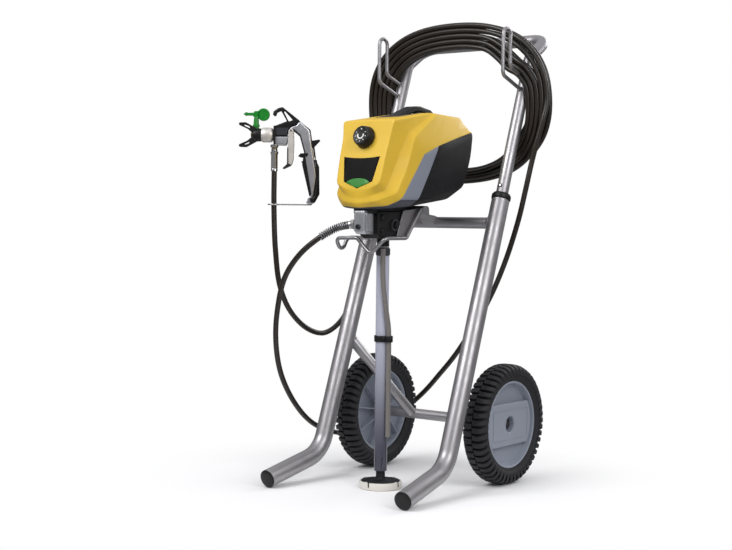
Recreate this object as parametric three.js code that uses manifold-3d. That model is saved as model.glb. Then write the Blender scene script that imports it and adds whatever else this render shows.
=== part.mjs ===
// Cart-mounted airless paint sprayer, built from separate pieces in millimetres, +Z up.
// The origin is the middle of the strainer's bottom face, which rests on the ground under the cart.
// x = 0 is the cart's mid-plane, -Y is the front and the ground is z = 0.
import * as THREE from 'three';
import { mergeVertices } from 'three/addons/utils/BufferGeometryUtils.js';
import Module from 'manifold-3d';

const wasm = await Module();
wasm.setup();

// ---------------------------------------------------------------- driving dimensions
const GAP = 0.3; // left between touching pieces

const RAIL_X = 161.8; // half the spacing of the two rails
const RAIL_RADIUS = 19;
const RAIL_WALL = 2;
const RAIL_LEAN = 0.3565; // backward travel for each millimetre of height
const BEND_Z = 56.2; // height of the rail's lower bend, straight above y = 0
const BEND_RADIUS = 70;
const FOOT = { x: 172.8, y: -161, z: 18.5 }; // middle of the foot's outer face
const RAIL_TOP_Z = 600;

const HANDLE_RADIUS = 13;
const HANDLE_WALL = 2;
const HANDLE_LOW_Z = 560; // the end inside the rail
const HANDLE_BEND_Z = 908;
const GRIP_Y = 375;
const GRIP_Z = 953;

const WHEEL_X = 169;
const WHEEL_Y = 209;
const WHEEL_RADIUS = 127;
const RIM_RADIUS = 92;
const AXLE_RADIUS = 11;
const STUB_RADIUS = 6.2;
const STRUT_RADIUS = 10.5;
const CROSSBAR_RADIUS = 12;
const CROSSBAR_Z = 551;

const WIRE_RADIUS = 4;
const HOOK = { frontY: 194.9, frontZ: 862, rearY: 223.5, rearZ: 881, topZ: 959.3 };

const HOSE_RADIUS = 5.75;
const COIL = { halfWidth: 214, halfHeight: 153, power: 2.45, z: 809, y: 270.5, tilt: 0.07, band: 57.5, depth: 23 };

const MOTOR_Z = 693;
const GEAR_Z = 650;
const GEAR_RADIUS = 35;
const PINION_RADIUS = 7.5;
const CRANK_THROW = 6;

const TUBE_RADIUS = 13.4; // suction tube
const RETURN_RADIUS = 5.2;

const GUN = { x: -235.5, y: -73, z: 706 }; // on the hose's axis, where the gun's swivel turns
const GUN_TURN = THREE.MathUtils.degToRad(37.5);
const BARREL_T = 26; // height of the gun's barrel above GUN.z

// ---------------------------------------------------------------- materials
const finish = (color, roughness, metalness) => new THREE.MeshStandardMaterial({ color, roughness, metalness });
const silverPaint = finish(0xa9a9ac, 0.38, 0.75);
const yellowPlastic = finish(0xe3bd35, 0.42, 0);
const greyPlastic = finish(0x767b88, 0.5, 0);
const charcoalPlastic = finish(0x26262a, 0.5, 0);
const blackPlastic = finish(0x17171a, 0.45, 0);
const tyreRubber = finish(0x1d1d20, 0.8, 0);
const hoseRubber = finish(0x1b1917, 0.5, 0);
const rimPlastic = finish(0x82868f, 0.5, 0);
const bareSteel = finish(0xb4b4b6, 0.3, 1);
const castAluminium = finish(0xb9b9bd, 0.35, 0.9);
const brass = finish(0xb08d46, 0.35, 1);
const clearTube = finish(0xcfcfe0, 0.2, 0);
const returnTube = finish(0xa8a5a2, 0.35, 0);
const strainerPlastic = finish(0xc9c4b8, 0.55, 0);
const greenPlastic = finish(0x1c8f2e, 0.4, 0);

// ---------------------------------------------------------------- solid helpers
const point = (x, y, z) => new THREE.Vector3(x, y, z);

// One closed mesh with merged corners, no empty triangles and its faces pointing out.
function closed(geometry) {
  const bare = new THREE.BufferGeometry();
  bare.setAttribute('position', geometry.attributes.position.clone());
  if (geometry.index) bare.setIndex(geometry.index.clone());
  const merged = mergeVertices(bare, 1e-4);
  const index = merged.index.array;
  const position = merged.attributes.position;
  const corner = [point(0, 0, 0), point(0, 0, 0), point(0, 0, 0)];
  const kept = [];
  let volume = 0;
  for (let i = 0; i < index.length; i += 3) {
    const [a, b, c] = [index[i], index[i + 1], index[i + 2]];
    if (a === b || b === c || c === a) continue;
    kept.push(a, b, c);
    corner[0].fromBufferAttribute(position, a);
    corner[1].fromBufferAttribute(position, b);
    corner[2].fromBufferAttribute(position, c);
    volume += corner[0].dot(corner[1].cross(corner[2]));
  }
  if (volume < 0) {
    for (let i = 0; i < kept.length; i += 3) [kept[i], kept[i + 1]] = [kept[i + 1], kept[i]];
  }
  merged.setIndex(kept);
  return merged;
}

function toSolid(geometry) {
  const mesh = closed(geometry);
  return new wasm.Manifold(new wasm.Mesh({
    numProp: 3,
    vertProperties: new Float32Array(mesh.attributes.position.array),
    triVerts: new Uint32Array(mesh.index.array),
  }));
}

function toGeometry(solid) {
  const mesh = solid.getMesh();
  const geometry = new THREE.BufferGeometry();
  geometry.setAttribute('position', new THREE.BufferAttribute(new Float32Array(mesh.vertProperties), 3));
  geometry.setIndex([...mesh.triVerts]);
  return geometry;
}

const cut = (geometry, ...tools) => toGeometry(tools.reduce((solid, tool) => solid.subtract(toSolid(tool)),
  toSolid(geometry)));
const join = (geometry, ...others) => toGeometry(others.reduce((solid, other) => solid.add(toSolid(other)),
  toSolid(geometry)));
const overlap = (geometry, other) => toGeometry(toSolid(geometry).intersect(toSolid(other)));

function block(x0, x1, y0, y1, z0, z1) {
  const geometry = new THREE.BoxGeometry(x1 - x0, y1 - y0, z1 - z0);
  return geometry.translate((x0 + x1) / 2, (y0 + y1) / 2, (z0 + z1) / 2);
}

// A round bar from one point to another.
function bar(from, to, radius, sides = 16) {
  const along = to.clone().sub(from);
  const geometry = new THREE.CylinderGeometry(radius, radius, along.length(), sides);
  const turn = new THREE.Quaternion().setFromUnitVectors(point(0, 1, 0), along.clone().normalize());
  geometry.applyQuaternion(turn);
  return geometry.translate(...from.clone().add(to).multiplyScalar(0.5).toArray());
}

// A turned piece: pairs of radius and height, turned about a line through `base` along `axis`.
function turned(pairs, base, axis, segments = 24) {
  const geometry = new THREE.LatheGeometry(pairs.map(([radius, height]) => new THREE.Vector2(radius, height)),
    segments);
  geometry.applyQuaternion(new THREE.Quaternion().setFromUnitVectors(point(0, 1, 0), axis.clone().normalize()));
  return geometry.translate(base.x, base.y, base.z);
}

const ring = (inner, outer, low, high) => [[inner, low], [outer, low], [outer, high], [inner, high], [inner, low]];

// A flat outline of [along, up] points, `thick` wide and centred on `middle` in the third direction.
// The outline lies in the plane of Y and Z (for 'x') or of X and Z (for 'y').
function plate(outline, across, thick, middle = 0) {
  const shape = new THREE.Shape(outline.map(([a, b]) => new THREE.Vector2(a, b)));
  const geometry = new THREE.ExtrudeGeometry(shape, { depth: thick, bevelEnabled: false });
  geometry.translate(0, 0, -thick / 2);
  const basis = new THREE.Matrix4();
  if (across === 'x') basis.makeBasis(point(0, 1, 0), point(0, 0, 1), point(1, 0, 0));
  else basis.makeBasis(point(1, 0, 0), point(0, 0, 1), point(0, -1, 0));
  geometry.applyMatrix4(basis);
  return across === 'x' ? geometry.translate(middle, 0, 0) : geometry.translate(0, middle, 0);
}

// A path that is known by its stations, so a straight stretch needs no steps in between.
class StationPath extends THREE.Curve {
  constructor(stations) {
    super();
    this.stations = stations;
  }

  station(u) {
    return this.stations[Math.round(u * (this.stations.length - 1))];
  }

  getPointAt(u) {
    return this.station(u).at.clone();
  }

  getTangentAt(u) {
    return this.station(u).along.clone();
  }
}

// Stations along straight lines between corners, with each corner rounded to an arc.
function roundedStations(corners, radius, arcSteps) {
  const stations = [];
  const first = corners[1].clone().sub(corners[0]).normalize();
  stations.push({ at: corners[0], along: first });
  for (let i = 1; i < corners.length - 1; i++) {
    const into = corners[i].clone().sub(corners[i - 1]).normalize();
    const out = corners[i + 1].clone().sub(corners[i]).normalize();
    const angle = into.angleTo(out);
    const reach = radius * Math.tan(angle / 2);
    const start = corners[i].clone().addScaledVector(into, -reach);
    const inward = out.clone().addScaledVector(into, -into.dot(out)).normalize();
    const centre = start.clone().addScaledVector(inward, radius);
    for (let step = 0; step <= arcSteps; step++) {
      const turn = angle * step / arcSteps;
      const at = centre.clone().addScaledVector(inward, -radius * Math.cos(turn))
        .addScaledVector(into, radius * Math.sin(turn));
      const along = into.clone().multiplyScalar(Math.cos(turn)).addScaledVector(inward, Math.sin(turn));
      stations.push({ at, along });
    }
  }
  const last = corners.length - 1;
  stations.push({ at: corners[last], along: corners[last].clone().sub(corners[last - 1]).normalize() });
  return stations;
}

function circle(radius, sides) {
  return Array.from({ length: sides }, (_, i) => {
    const angle = 2 * Math.PI * i / sides;
    return new THREE.Vector2(radius * Math.cos(angle), radius * Math.sin(angle));
  });
}

function sweep(path, steps, radius, sides, innerRadius = 0) {
  const shape = new THREE.Shape(circle(radius, sides));
  if (innerRadius > 0) shape.holes.push(new THREE.Path(circle(innerRadius, sides)));
  return new THREE.ExtrudeGeometry(shape, { steps, extrudePath: path });
}

function bentTube(corners, bendRadius, arcSteps, radius, sides, innerRadius = 0) {
  const stations = roundedStations(corners, bendRadius, arcSteps);
  return sweep(new StationPath(stations), stations.length - 1, radius, sides, innerRadius);
}

// ---------------------------------------------------------------- scene graph
const model = new THREE.Group();

function add(name, geometry, material, parent = model) {
  const mesh = new THREE.Mesh(closed(geometry), material);
  mesh.name = name;
  parent.add(mesh);
  return mesh;
}

const SIDES = [['left', -1], ['right', 1]];
const railPoint = (side, z) => point(side * RAIL_X, (z - BEND_Z) * RAIL_LEAN, z);
const railUp = point(0, RAIL_LEAN, 1).normalize();
const railFront = point(0, -1, RAIL_LEAN).normalize(); // square to the rail, towards the front

// ---------------------------------------------------------------- cart frame
function addRail(name, side) {
  const foot = point(side * FOOT.x, FOOT.y, FOOT.z);
  const bend = point(side * RAIL_X, 0, BEND_Z);
  const inFoot = bend.clone().sub(foot).normalize();
  const capThickness = 4;
  const start = foot.clone().addScaledVector(inFoot, capThickness + GAP);
  const rail = bentTube([start, bend, railPoint(side, RAIL_TOP_Z)], BEND_RADIUS, 5, RAIL_RADIUS, 18,
    RAIL_RADIUS - RAIL_WALL);
  add(`${name}_rail`, rail, silverPaint);
  const plug = 16;
  const cap = [[0, 0], [RAIL_RADIUS, 0], [RAIL_RADIUS, capThickness], [15.8, capThickness], [15.8, plug], [0, plug]];
  add(`${name}_foot_cap`, turned(cap, foot, inFoot), blackPlastic);
}

function addCollar(name, side) {
  const base = railPoint(side, RAIL_TOP_Z).addScaledVector(railUp, GAP);
  const bore = HANDLE_RADIUS + GAP;
  const profile = [[bore, -25], [16.2, -25], [16.2, 0], [20.5, 0], [20.5, 9], [17.5, 13], [bore, 13], [bore, -25]];
  add(`${name}_collar`, turned(profile, base, railUp), blackPlastic);
}

const BUTTON_RADIUS = 3.6;
const buttonPoint = (side) => railPoint(side, RAIL_TOP_Z + 26);

function addSnapButton(name, side) {
  const axis = buttonPoint(side);
  const inner = HANDLE_RADIUS - 5;
  const outer = HANDLE_RADIUS + 3.2;
  const profile = [[0, inner], [5, inner], [5, inner + 1.5], [BUTTON_RADIUS, inner + 1.5],
    [BUTTON_RADIUS, outer - 1.2], [BUTTON_RADIUS - 1.4, outer], [0, outer]];
  add(`${name}_snap_button`, turned(profile, axis, railFront, 16), bareSteel);
}

function addHandleTube() {
  const corners = [railPoint(1, HANDLE_LOW_Z), railPoint(1, HANDLE_BEND_Z), point(RAIL_X, GRIP_Y, GRIP_Z),
    point(-RAIL_X, GRIP_Y, GRIP_Z), railPoint(-1, HANDLE_BEND_Z), railPoint(-1, HANDLE_LOW_Z)];
  const tube = bentTube(corners, 34, 4, HANDLE_RADIUS, 14, HANDLE_RADIUS - HANDLE_WALL);
  const holes = SIDES.map(([, side]) => {
    const from = buttonPoint(side).addScaledVector(railFront, HANDLE_RADIUS - 4);
    return bar(from, buttonPoint(side).addScaledVector(railFront, HANDLE_RADIUS + 6), BUTTON_RADIUS + GAP);
  });
  add('handle_tube', cut(tube, ...holes), silverPaint);
}

// Each hook is a wire bent flat in the plane of its rail, with both ends butted on the tube's front.
function addHoseHook(name, side) {
  const x = side * RAIL_X;
  const backward = railFront.clone().negate();
  const toTube = (corner) => {
    const distance = corner.clone().sub(railPoint(side, corner.z)).dot(railFront);
    return corner.clone().addScaledVector(backward, distance - HANDLE_RADIUS - GAP);
  };
  const frontLow = point(x, HOOK.frontY, HOOK.frontZ);
  const rearLow = point(x, HOOK.rearY, HOOK.rearZ);
  const corners = [toTube(frontLow), frontLow, point(x, HOOK.frontY, HOOK.topZ), point(x, HOOK.rearY, HOOK.topZ),
    rearLow, toTube(rearLow)];
  add(`${name}_hose_hook`, bentTube(corners, 13.5, 4, WIRE_RADIUS, 8), silverPaint);
}

function addCrossbar() {
  const y = railPoint(1, CROSSBAR_Z).y;
  const tube = bar(point(-RAIL_X, y, CROSSBAR_Z), point(RAIL_X, y, CROSSBAR_Z), CROSSBAR_RADIUS, 20);
  const rails = SIDES.map(([, side]) => bar(railPoint(side, CROSSBAR_Z - 60), railPoint(side, CROSSBAR_Z + 40),
    RAIL_RADIUS + GAP, 24));
  add('crossbar', cut(tube, ...rails), silverPaint);
}

function addStrut(name, side) {
  const top = railPoint(side, 306);
  const low = point(side * 67.6, 198, 133);
  const strut = bar(top, low, STRUT_RADIUS, 18);
  const rail = bar(railPoint(side, 200), railPoint(side, 400), RAIL_RADIUS + GAP, 24);
  const axle = bar(point(-160, WHEEL_Y, WHEEL_RADIUS), point(160, WHEEL_Y, WHEEL_RADIUS), AXLE_RADIUS + GAP, 24);
  add(`${name}_strut`, cut(strut, rail, axle), silverPaint);
}

function addFrame() {
  for (const [name, side] of SIDES) {
    addRail(name, side);
    addCollar(name, side);
    addSnapButton(name, side);
    addHoseHook(name, side);
    addStrut(name, side);
  }
  addHandleTube();
  addCrossbar();
}

// ---------------------------------------------------------------- wheels
const AXLE_MID = 135; // half length of the axle's thick middle
const STUB_END = 180;

function addAxle() {
  const half = [[0, -STUB_END], [STUB_RADIUS, -STUB_END], [STUB_RADIUS, -AXLE_MID], [AXLE_RADIUS, -AXLE_MID]];
  const other = half.map(([radius, height]) => [radius, -height]).reverse();
  add('axle', turned([...half, ...other], point(0, WHEEL_Y, WHEEL_RADIUS), point(1, 0, 0), 20), silverPaint);
}

function addWheel(name, side) {
  const centre = point(side * WHEEL_X, WHEEL_Y, WHEEL_RADIUS);
  const outward = point(side, 0, 0);
  const seat = RIM_RADIUS + GAP;
  const tyre = [[seat, -19], [103, -26], [116, -27.5], [124, -20], [WHEEL_RADIUS, -9]];
  const tyreLoop = [...tyre, ...tyre.map(([radius, height]) => [radius, -height]).reverse(), tyre[0]];
  add(`${name}_tyre`, turned(tyreLoop, centre, outward, 40), tyreRubber);

  const bore = STUB_RADIUS + GAP;
  const hubRecess = 16.5;
  const rimLoop = [[bore, -28], [17, -28], [21, -3], [82, -3], [85, -16], [RIM_RADIUS, -16], [RIM_RADIUS, 19.7],
    [86, 19.7], [82, 2], [21, 2], [bore, 2], [bore, -28]];
  const bandHeight = 45;
  const band = block(-84, 84, -bandHeight, bandHeight, 1.9, 16);
  const disc = new THREE.CylinderGeometry(84, 84, 40, 32).rotateX(Math.PI / 2);
  const ribs = Array.from({ length: 10 }, (_, i) => block(19, 83, -2, 2, -13, -2.9).rotateZ(Math.PI * i / 5));
  const recess = new THREE.CylinderGeometry(hubRecess, hubRecess, 20, 24).rotateX(Math.PI / 2).translate(0, 0, 14.5);
  const axleHole = bar(point(0, 0, -30), point(0, 0, 30), bore, 20);
  const rim = cut(join(turned(rimLoop, point(0, 0, 0), point(0, 0, 1), 32), overlap(band, disc), ...ribs), recess,
    axleHole);
  // local x runs along the cart's length, local y up and local z outward
  rim.applyMatrix4(new THREE.Matrix4().makeBasis(point(0, side, 0), point(0, 0, 1), outward));
  add(`${name}_rim`, rim.translate(centre.x, centre.y, centre.z), rimPlastic);

  const clip = ring(STUB_RADIUS + GAP, 12, 4.5 + GAP, 6.5 + GAP);
  add(`${name}_axle_clip`, turned(clip, centre, outward, 18), bareSteel);
}

// ---------------------------------------------------------------- sprayer housing
// Half outlines of the body from the roof's middle round to the bottom's middle, front to rear.
const HOUSING = [
  [[0, -53, 757], [66, -53, 757], [60, -61, 722], [58, -76, 675], [55, -88, 627], [30, -90, 617], [0, -90, 608]],
  [[0, 80, 779], [60, 88, 779], [67, -8, 733], [62, -45, 664], [58, -70, 615], [30, -86, 603], [0, -90, 596]],
  [[0, 95, 780], [64, 100, 778], [81, -6, 722], [80, -25, 666], [77, -60, 608], [40, -84, 592], [0, -92, 587]],
  [[0, 120, 779], [65, 120, 777], [82, 28, 700], [82, 5, 650], [80, -48, 594], [60, -62, 579], [0, -86, 575]],
  [[0, 186, 776], [65, 186, 775], [82, 110, 705], [82, 100, 650], [80, 60, 602], [64, 14, 584], [0, -20, 575]],
  [[0, 202, 752], [64, 203, 751], [80, 212, 745.6], [80, 204, 690], [78, 180, 628], [64, 136, 599], [0, 136, 599]],
];
const WALL_SCALE = [0.962, 0.972, 0.958];
const HOUSING_MIDDLE = [0, 60, 680];

function housingBody(scale) {
  const rings = HOUSING.map((half) => {
    const other = half.slice(1, -1).map(([x, y, z]) => [-x, y, z]).reverse();
    return [...half, ...other];
  });
  const count = rings[0].length;
  const vertices = rings.flat().map((corner) => corner.map((value, i) =>
    HOUSING_MIDDLE[i] + (value - HOUSING_MIDDLE[i]) * scale[i]));
  const faces = [];
  for (let r = 0; r < rings.length - 1; r++) {
    for (let i = 0; i < count; i++) {
      const [a, b] = [r * count + i, r * count + (i + 1) % count];
      faces.push(a, b, b + count, a, b + count, a + count);
    }
  }
  const last = (rings.length - 1) * count;
  for (let i = 0; i < count / 2; i++) {
    const [mirror, nextMirror] = [(count - i) % count, count - i - 1];
    faces.push(i, nextMirror, i + 1, last + i, last + i + 1, last + nextMirror);
    faces.push(i, mirror, nextMirror, last + i, last + nextMirror, last + mirror);
  }
  const geometry = new THREE.BufferGeometry();
  geometry.setAttribute('position', new THREE.Float32BufferAttribute(vertices.flat(), 3));
  geometry.setIndex(faces);
  return geometry;
}

// Seams on the side of the housing, as [y, z] points.
const SEAM = { rearTop: [212, 745], junction: [81, 709.5], knee: [28, 690], low: [-41, 603], corner: [-52, 593],
  toe: [-64, 584], panelLow: [12, 597] };
const TOP_OPENING = { halfWidth: 30, front: 8, rear: 162 };

function housingPanels() {
  const full = 260;
  const skin = cut(housingBody([1, 1, 1]), housingBody(WALL_SCALE));
  const upper = (dy, dz) => plate([[-200, 560], [-200, 900], [320, 900], [320, 770], SEAM.rearTop, SEAM.junction,
    SEAM.knee, SEAM.low, SEAM.corner, SEAM.toe, [-95, 577.5]].map(([y, z]) => [y + dy, z + dz]), 'x', full);
  const panelOutline = [SEAM.junction, SEAM.knee, SEAM.low, SEAM.corner, [-46, 596], SEAM.panelLow];
  const panelSides = (grow) => SIDES.map(([, side]) => plate(panelOutline.map(([y, z]) => [y + grow, z - grow]),
    'x', 60, side * 90));
  const opening = block(-TOP_OPENING.halfWidth, TOP_OPENING.halfWidth, TOP_OPENING.front, TOP_OPENING.rear, 760, 800);
  const knobHole = turned([[0, -12], [9, -12], [9, 12], [0, 12]], KNOB_BASE, KNOB_AXIS, 18);
  const below = cut(skin, upper(GAP, -GAP));
  const [leftPanel, rightPanel] = panelSides(0).map((side) => overlap(below, side));
  const pistonHole = bar(point(0, 0, 560), point(0, 0, 620), 16);
  const glandHole = bar(GLAND_BASE.clone().addScaledVector(GLAND_AXIS, -20),
    GLAND_BASE.clone().addScaledVector(GLAND_AXIS, 20), 8);
  return {
    front: cut(overlap(skin, upper(0, 0)), opening, knobHole),
    leftPanel,
    rightPanel,
    rear: cut(below, ...panelSides(GAP), ...panelSides(0), pistonHole, glandHole),
  };
}

const KNOB_AXIS = point(0, -Math.cos(0.26), Math.sin(0.26));
const KNOB_BASE = point(0, -62.5, 721);
const GLAND_BASE = point(50, 189.5, 652); // on the sloping rear wall
const GLAND_AXIS = point(0, 0.933, -0.361);

function addKnob() {
  const profile = [[0, -9], [6, -9], [6, 0.8], [23.2, 0.8], [22.6, 6], [19.5, 17], [18.2, 18.5], [0, 18.5]];
  add('pressure_knob', turned(profile, KNOB_BASE, KNOB_AXIS, 28), blackPlastic);
}

// A tray let into the roof and level with it, closed at the front, with the carrying bar arched over the rest.
function addTopHandle() {
  const { halfWidth, front, rear } = TOP_OPENING;
  const side = halfWidth - GAP;
  const tray = plate([[front + GAP, 748], [front + GAP, 767.6], [80, 779.8], [120, 779.8], [rear - GAP, 778],
    [rear - GAP, 748]], 'x', 2 * side);
  const well = block(-side + 3, side - 3, front + 4, rear - 4, 751, 800);
  const foot = 28;
  const lid = plate([[front + GAP, 764], [front + GAP, 767.6], [50, 774.8], [50, 771.2]], 'x', 2 * side);
  const outline = [[foot, 750], [foot, 772], [92, 794], [108, 795], [146, 790], [rear - GAP, 781],
    [rear - GAP, 770], [rear - 14, 770], [rear - 22, 778], [108, 783], [92, 782], [64, 774], [54, 766], [50, 750]];
  add('top_handle', join(cut(tray, well), lid, plate(outline, 'x', 26)), blackPlastic);
}

function addHousing() {
  const panels = housingPanels();
  add('front_cover', panels.front, yellowPlastic);
  add('left_side_panel', panels.leftPanel, greyPlastic);
  add('right_side_panel', panels.rightPanel, greyPlastic);
  add('rear_cover', panels.rear, charcoalPlastic);
  addTopHandle();
  addKnob();
  const gland = [[3.5, -6], [7.4, -6], [7.4, 1], [11, 1], [9, 18], [6, 26], [3.5, 26], [3.5, -6]];
  add('cord_gland', turned(gland, GLAND_BASE, GLAND_AXIS, 16), blackPlastic);
}

// ---------------------------------------------------------------- drive inside the housing
function addDrive() {
  const axis = point(0, 1, 0);
  const can = [[5.5, 70], [44, 70], [44, 152], [40, 152], [40, 74], [5.5, 74], [5.5, 70]];
  add('motor_can', turned(can, point(0, 0, MOTOR_Z), axis, 24), bareSteel);
  const shaft = 5;
  const rotor = [[0, 19], [PINION_RADIUS, 19], [PINION_RADIUS, 31], [shaft, 31], [shaft, 82], [36, 82], [36, 140],
    [shaft, 140], [shaft, 172], [0, 172]];
  add('motor_rotor', turned(rotor, point(0, 0, MOTOR_Z), axis, 20), brass);
  const hub = turned(ring(shaft + GAP, 11, 158, 166), point(0, 0, MOTOR_Z), axis, 16);
  const blades = Array.from({ length: 7 }, (_, i) => block(9, 36, 158, 166, -1.2, 1.2)
    .rotateY(2 * Math.PI * i / 7).translate(0, 0, MOTOR_Z));
  add('cooling_fan', join(hub, ...blades), blackPlastic);
  const gear = turned([[0, 19], [GEAR_RADIUS, 19], [GEAR_RADIUS, 30], [8, 30], [8, 52], [0, 52]],
    point(0, 0, GEAR_Z), axis, 28);
  const pin = bar(point(0, -6, GEAR_Z + CRANK_THROW), point(0, 20, GEAR_Z + CRANK_THROW), 4.5);
  add('drive_gear', join(gear, pin), bareSteel);
  const rod = bar(point(0, 0, 536), point(0, 0, 636), 7, 18);
  const yoke = block(-14, 14, -5, 5, 632, 679);
  const window = block(-11, 11, -8, 8, 638.5, 673);
  add('piston', join(rod, cut(yoke, window)), bareSteel);
}

// ---------------------------------------------------------------- pump, suction set and bracket
const FITTING_BASE = point(-12.3, -72, 547);
const FITTING_AXIS = point(-36, -11, -6).normalize();
const FITTING_END = 17;
const fittingPoint = (distance) => FITTING_BASE.clone().addScaledVector(FITTING_AXIS, distance);

function addPump() {
  const body = plate([[-50, 526], [-50, 574], [44, 574], [44, 532], [30, 517], [-36, 517]], 'x', 50);
  const nose = bar(point(0, 0, 500), point(0, 0, 520), 13, 20);
  const bore = bar(point(0, 0, 522), point(0, 0, 590), 7 + 2 * GAP, 18);
  const pusherBore = bar(point(15, 4, 545), point(40, 4, 545), 5 + GAP, 16);
  add('pump_body', cut(join(body, nose), bore, pusherBore), blackPlastic);
  const manifold = plate([[-84, 533], [-84, 574], [-50.3, 574], [-50.3, 526], [-76, 526]], 'x', 26, 1);
  add('pump_block', manifold, castAluminium);
  const pusher = [[0, -6], [5, -6], [5, 3], [7, 3], [7, 8], [5.5, 9], [0, 9]];
  add('inlet_pusher', turned(pusher, point(25, 4, 545), point(1, 0, 0), 16), blackPlastic);
  add('outlet_fitting', turned([[0, 3.8], [9.5, 3.8], [9.5, 12], [8, 12], [8, FITTING_END], [0, FITTING_END]],
    FITTING_BASE, FITTING_AXIS, 12), bareSteel);
  add('suction_nut', turned([[0, 482], [14.6, 482], [14.6, 497], [12, 499.5], [0, 499.5]], point(0, 0, 0),
    point(0, 0, 1), 20), greyPlastic);
}

function addSuctionSet() {
  const up = point(0, 0, 1);
  const base = point(0, 0, 0);
  add('suction_tube', turned(ring(11, TUBE_RADIUS, 36, 481.6), base, up, 20), clearTube);
  const strainer = [[0, 0], [42, 0], [44, 2], [44, 17], [42, 19], [9.5, 19], [9.5, 60], [0, 60]];
  add('strainer', turned(strainer, base, up, 32), strainerPlastic);
  const reach = TUBE_RADIUS + RETURN_RADIUS + 2 * GAP;
  const around = (degrees, z) => {
    const angle = THREE.MathUtils.degToRad(degrees);
    return point(reach * Math.cos(angle), reach * Math.sin(angle), z);
  };
  const drop = new THREE.CatmullRomCurve3([around(-52, 496), around(-52, 440), around(-40, 395), around(-22, 358),
    around(-9, 332), around(-6, 312), around(-6, 240), around(-6, 108)]);
  add('return_tube', cut(sweep(drop, 16, RETURN_RADIUS, 10), bar(point(0, 0, 478), point(0, 0, 510), 15.2)),
    returnTube);
  const small = around(-6, 0);
  const band = join(bar(point(0, 0, 304), point(0, 0, 317), TUBE_RADIUS + 2.6, 24),
    bar(point(small.x, small.y, 304), point(small.x, small.y, 317), RETURN_RADIUS + 2.6, 18));
  const tubes = [bar(point(0, 0, 300), point(0, 0, 320), TUBE_RADIUS + GAP, 24),
    bar(point(small.x, small.y, 300), point(small.x, small.y, 320), RETURN_RADIUS + 2 * GAP, 18)];
  add('tube_clip', cut(band, ...tubes), blackPlastic);
}

function addBracket() {
  const flange = [[8, 521], [46, 519], [106, 582], [30, 575]];
  const web = [[44.5, 521], [47.5, 519], [108, 582], [108, 586], [104, 586]];
  const neck = [[98, 578], [104, 586], [138, 586], [143, 581], [144, 568], [166, 566], [168, 548], [150, 560]];
  const shape = join(plate(web, 'x', 58.6), ...SIDES.map(([, side]) => plate(flange, 'x', 3, side * 27.8)),
    plate(neck, 'x', 30));
  const crossbarY = railPoint(1, CROSSBAR_Z).y;
  const barSpace = bar(point(-60, crossbarY, CROSSBAR_Z), point(60, crossbarY, CROSSBAR_Z),
    CROSSBAR_RADIUS + GAP, 24);
  add('mount_bracket', cut(shape, barSpace), silverPaint);
}

// One bent wire: a V across the front for a pail's handle, and a loop at the left with a dip in it.
function addPailHook() {
  const beside = 33.7; // outside the bracket's flanges
  const corners = [point(beside, 84, 579), point(beside, 35, 518), point(36, -42, 518), point(0, -42, 485),
    point(-36, -42, 518), point(-91, -42, 517), point(-91, -23, 484), point(-91, -3, 518), point(-beside, 32, 518),
    point(-beside, 84, 579)];
  add('pail_hook', bentTube(corners, 8, 3, WIRE_RADIUS, 8), silverPaint);
}

// ---------------------------------------------------------------- hose
const PUMP_ROUTE = [fittingPoint(FITTING_END + GAP), fittingPoint(34), point(-60, -95, 533), point(-83, -110, 516),
  point(-121, -121, 484), point(-164, -118, 435), point(-200, -100, 363), point(-220, -81, 298),
  point(-237, -47, 230), point(-244, -5, 172), point(-245, 44, 123), point(-246, 92, 94), point(-244, 168, 70),
  point(-237, 231, 67), point(-222, 292, 75), point(-206, 330, 93), point(-178, 356, 124), point(-134, 352, 160),
  point(-88, 338, 200), point(-26, 318, 257), point(78, 278, 375), point(149, 242, 472), point(180, 242, 552),
  point(192, 252, 606), point(196, 265, 648), point(196, 274, 677)];
const GUARD_LENGTH = 66; // of the spring round the hose's first stretch
const GUN_ROUTE = [point(GUN.x, GUN.y, GUN.z - 50), point(GUN.x, GUN.y, 580), point(-231, -72, 488),
  point(-231, -57, 413), point(-231, -23, 358), point(-229, 34, 316), point(-224, 87, 304), point(-219, 142, 331),
  point(-208, 172, 390), point(-201, 192, 450), point(-197, 210, 510), point(-196, 231, 570), point(-196, 252, 620),
  point(-196, 265, 648), point(-196, 274, 677)];

// The stretch of a curve between two distances along it.
class Stretch extends THREE.Curve {
  constructor(route, from, to) {
    super();
    this.whole = new THREE.CatmullRomCurve3(route, false, 'centripetal');
    this.from = from;
    this.to = Math.min(to, this.whole.getLength());
  }

  getPoint(t) {
    return this.whole.getPointAt((this.from + t * (this.to - this.from)) / this.whole.getLength());
  }
}

// The outer shape of the wound turns: an oval band, hung on the hooks and leaning a little.
function coilSolid() {
  const { halfWidth, halfHeight, power, band, depth, tilt } = COIL;
  const oval = (grow) => Array.from({ length: 48 }, (_, i) => {
    const angle = 2 * Math.PI * i / 48;
    const [c, s] = [Math.cos(angle), Math.sin(angle)];
    return new THREE.Vector2((halfWidth + grow) * Math.sign(c) * Math.abs(c) ** (2 / power),
      (halfHeight + grow) * Math.sign(s) * Math.abs(s) ** (2 / power));
  });
  const shape = new THREE.Shape(oval(band / 2));
  shape.holes.push(new THREE.Path(oval(-band / 2)));
  const geometry = new THREE.ExtrudeGeometry(shape, { depth, bevelEnabled: false });
  geometry.translate(0, 0, -depth / 2).rotateX(Math.PI / 2 + Math.atan(tilt));
  return geometry.translate(0, COIL.y, COIL.z);
}

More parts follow.
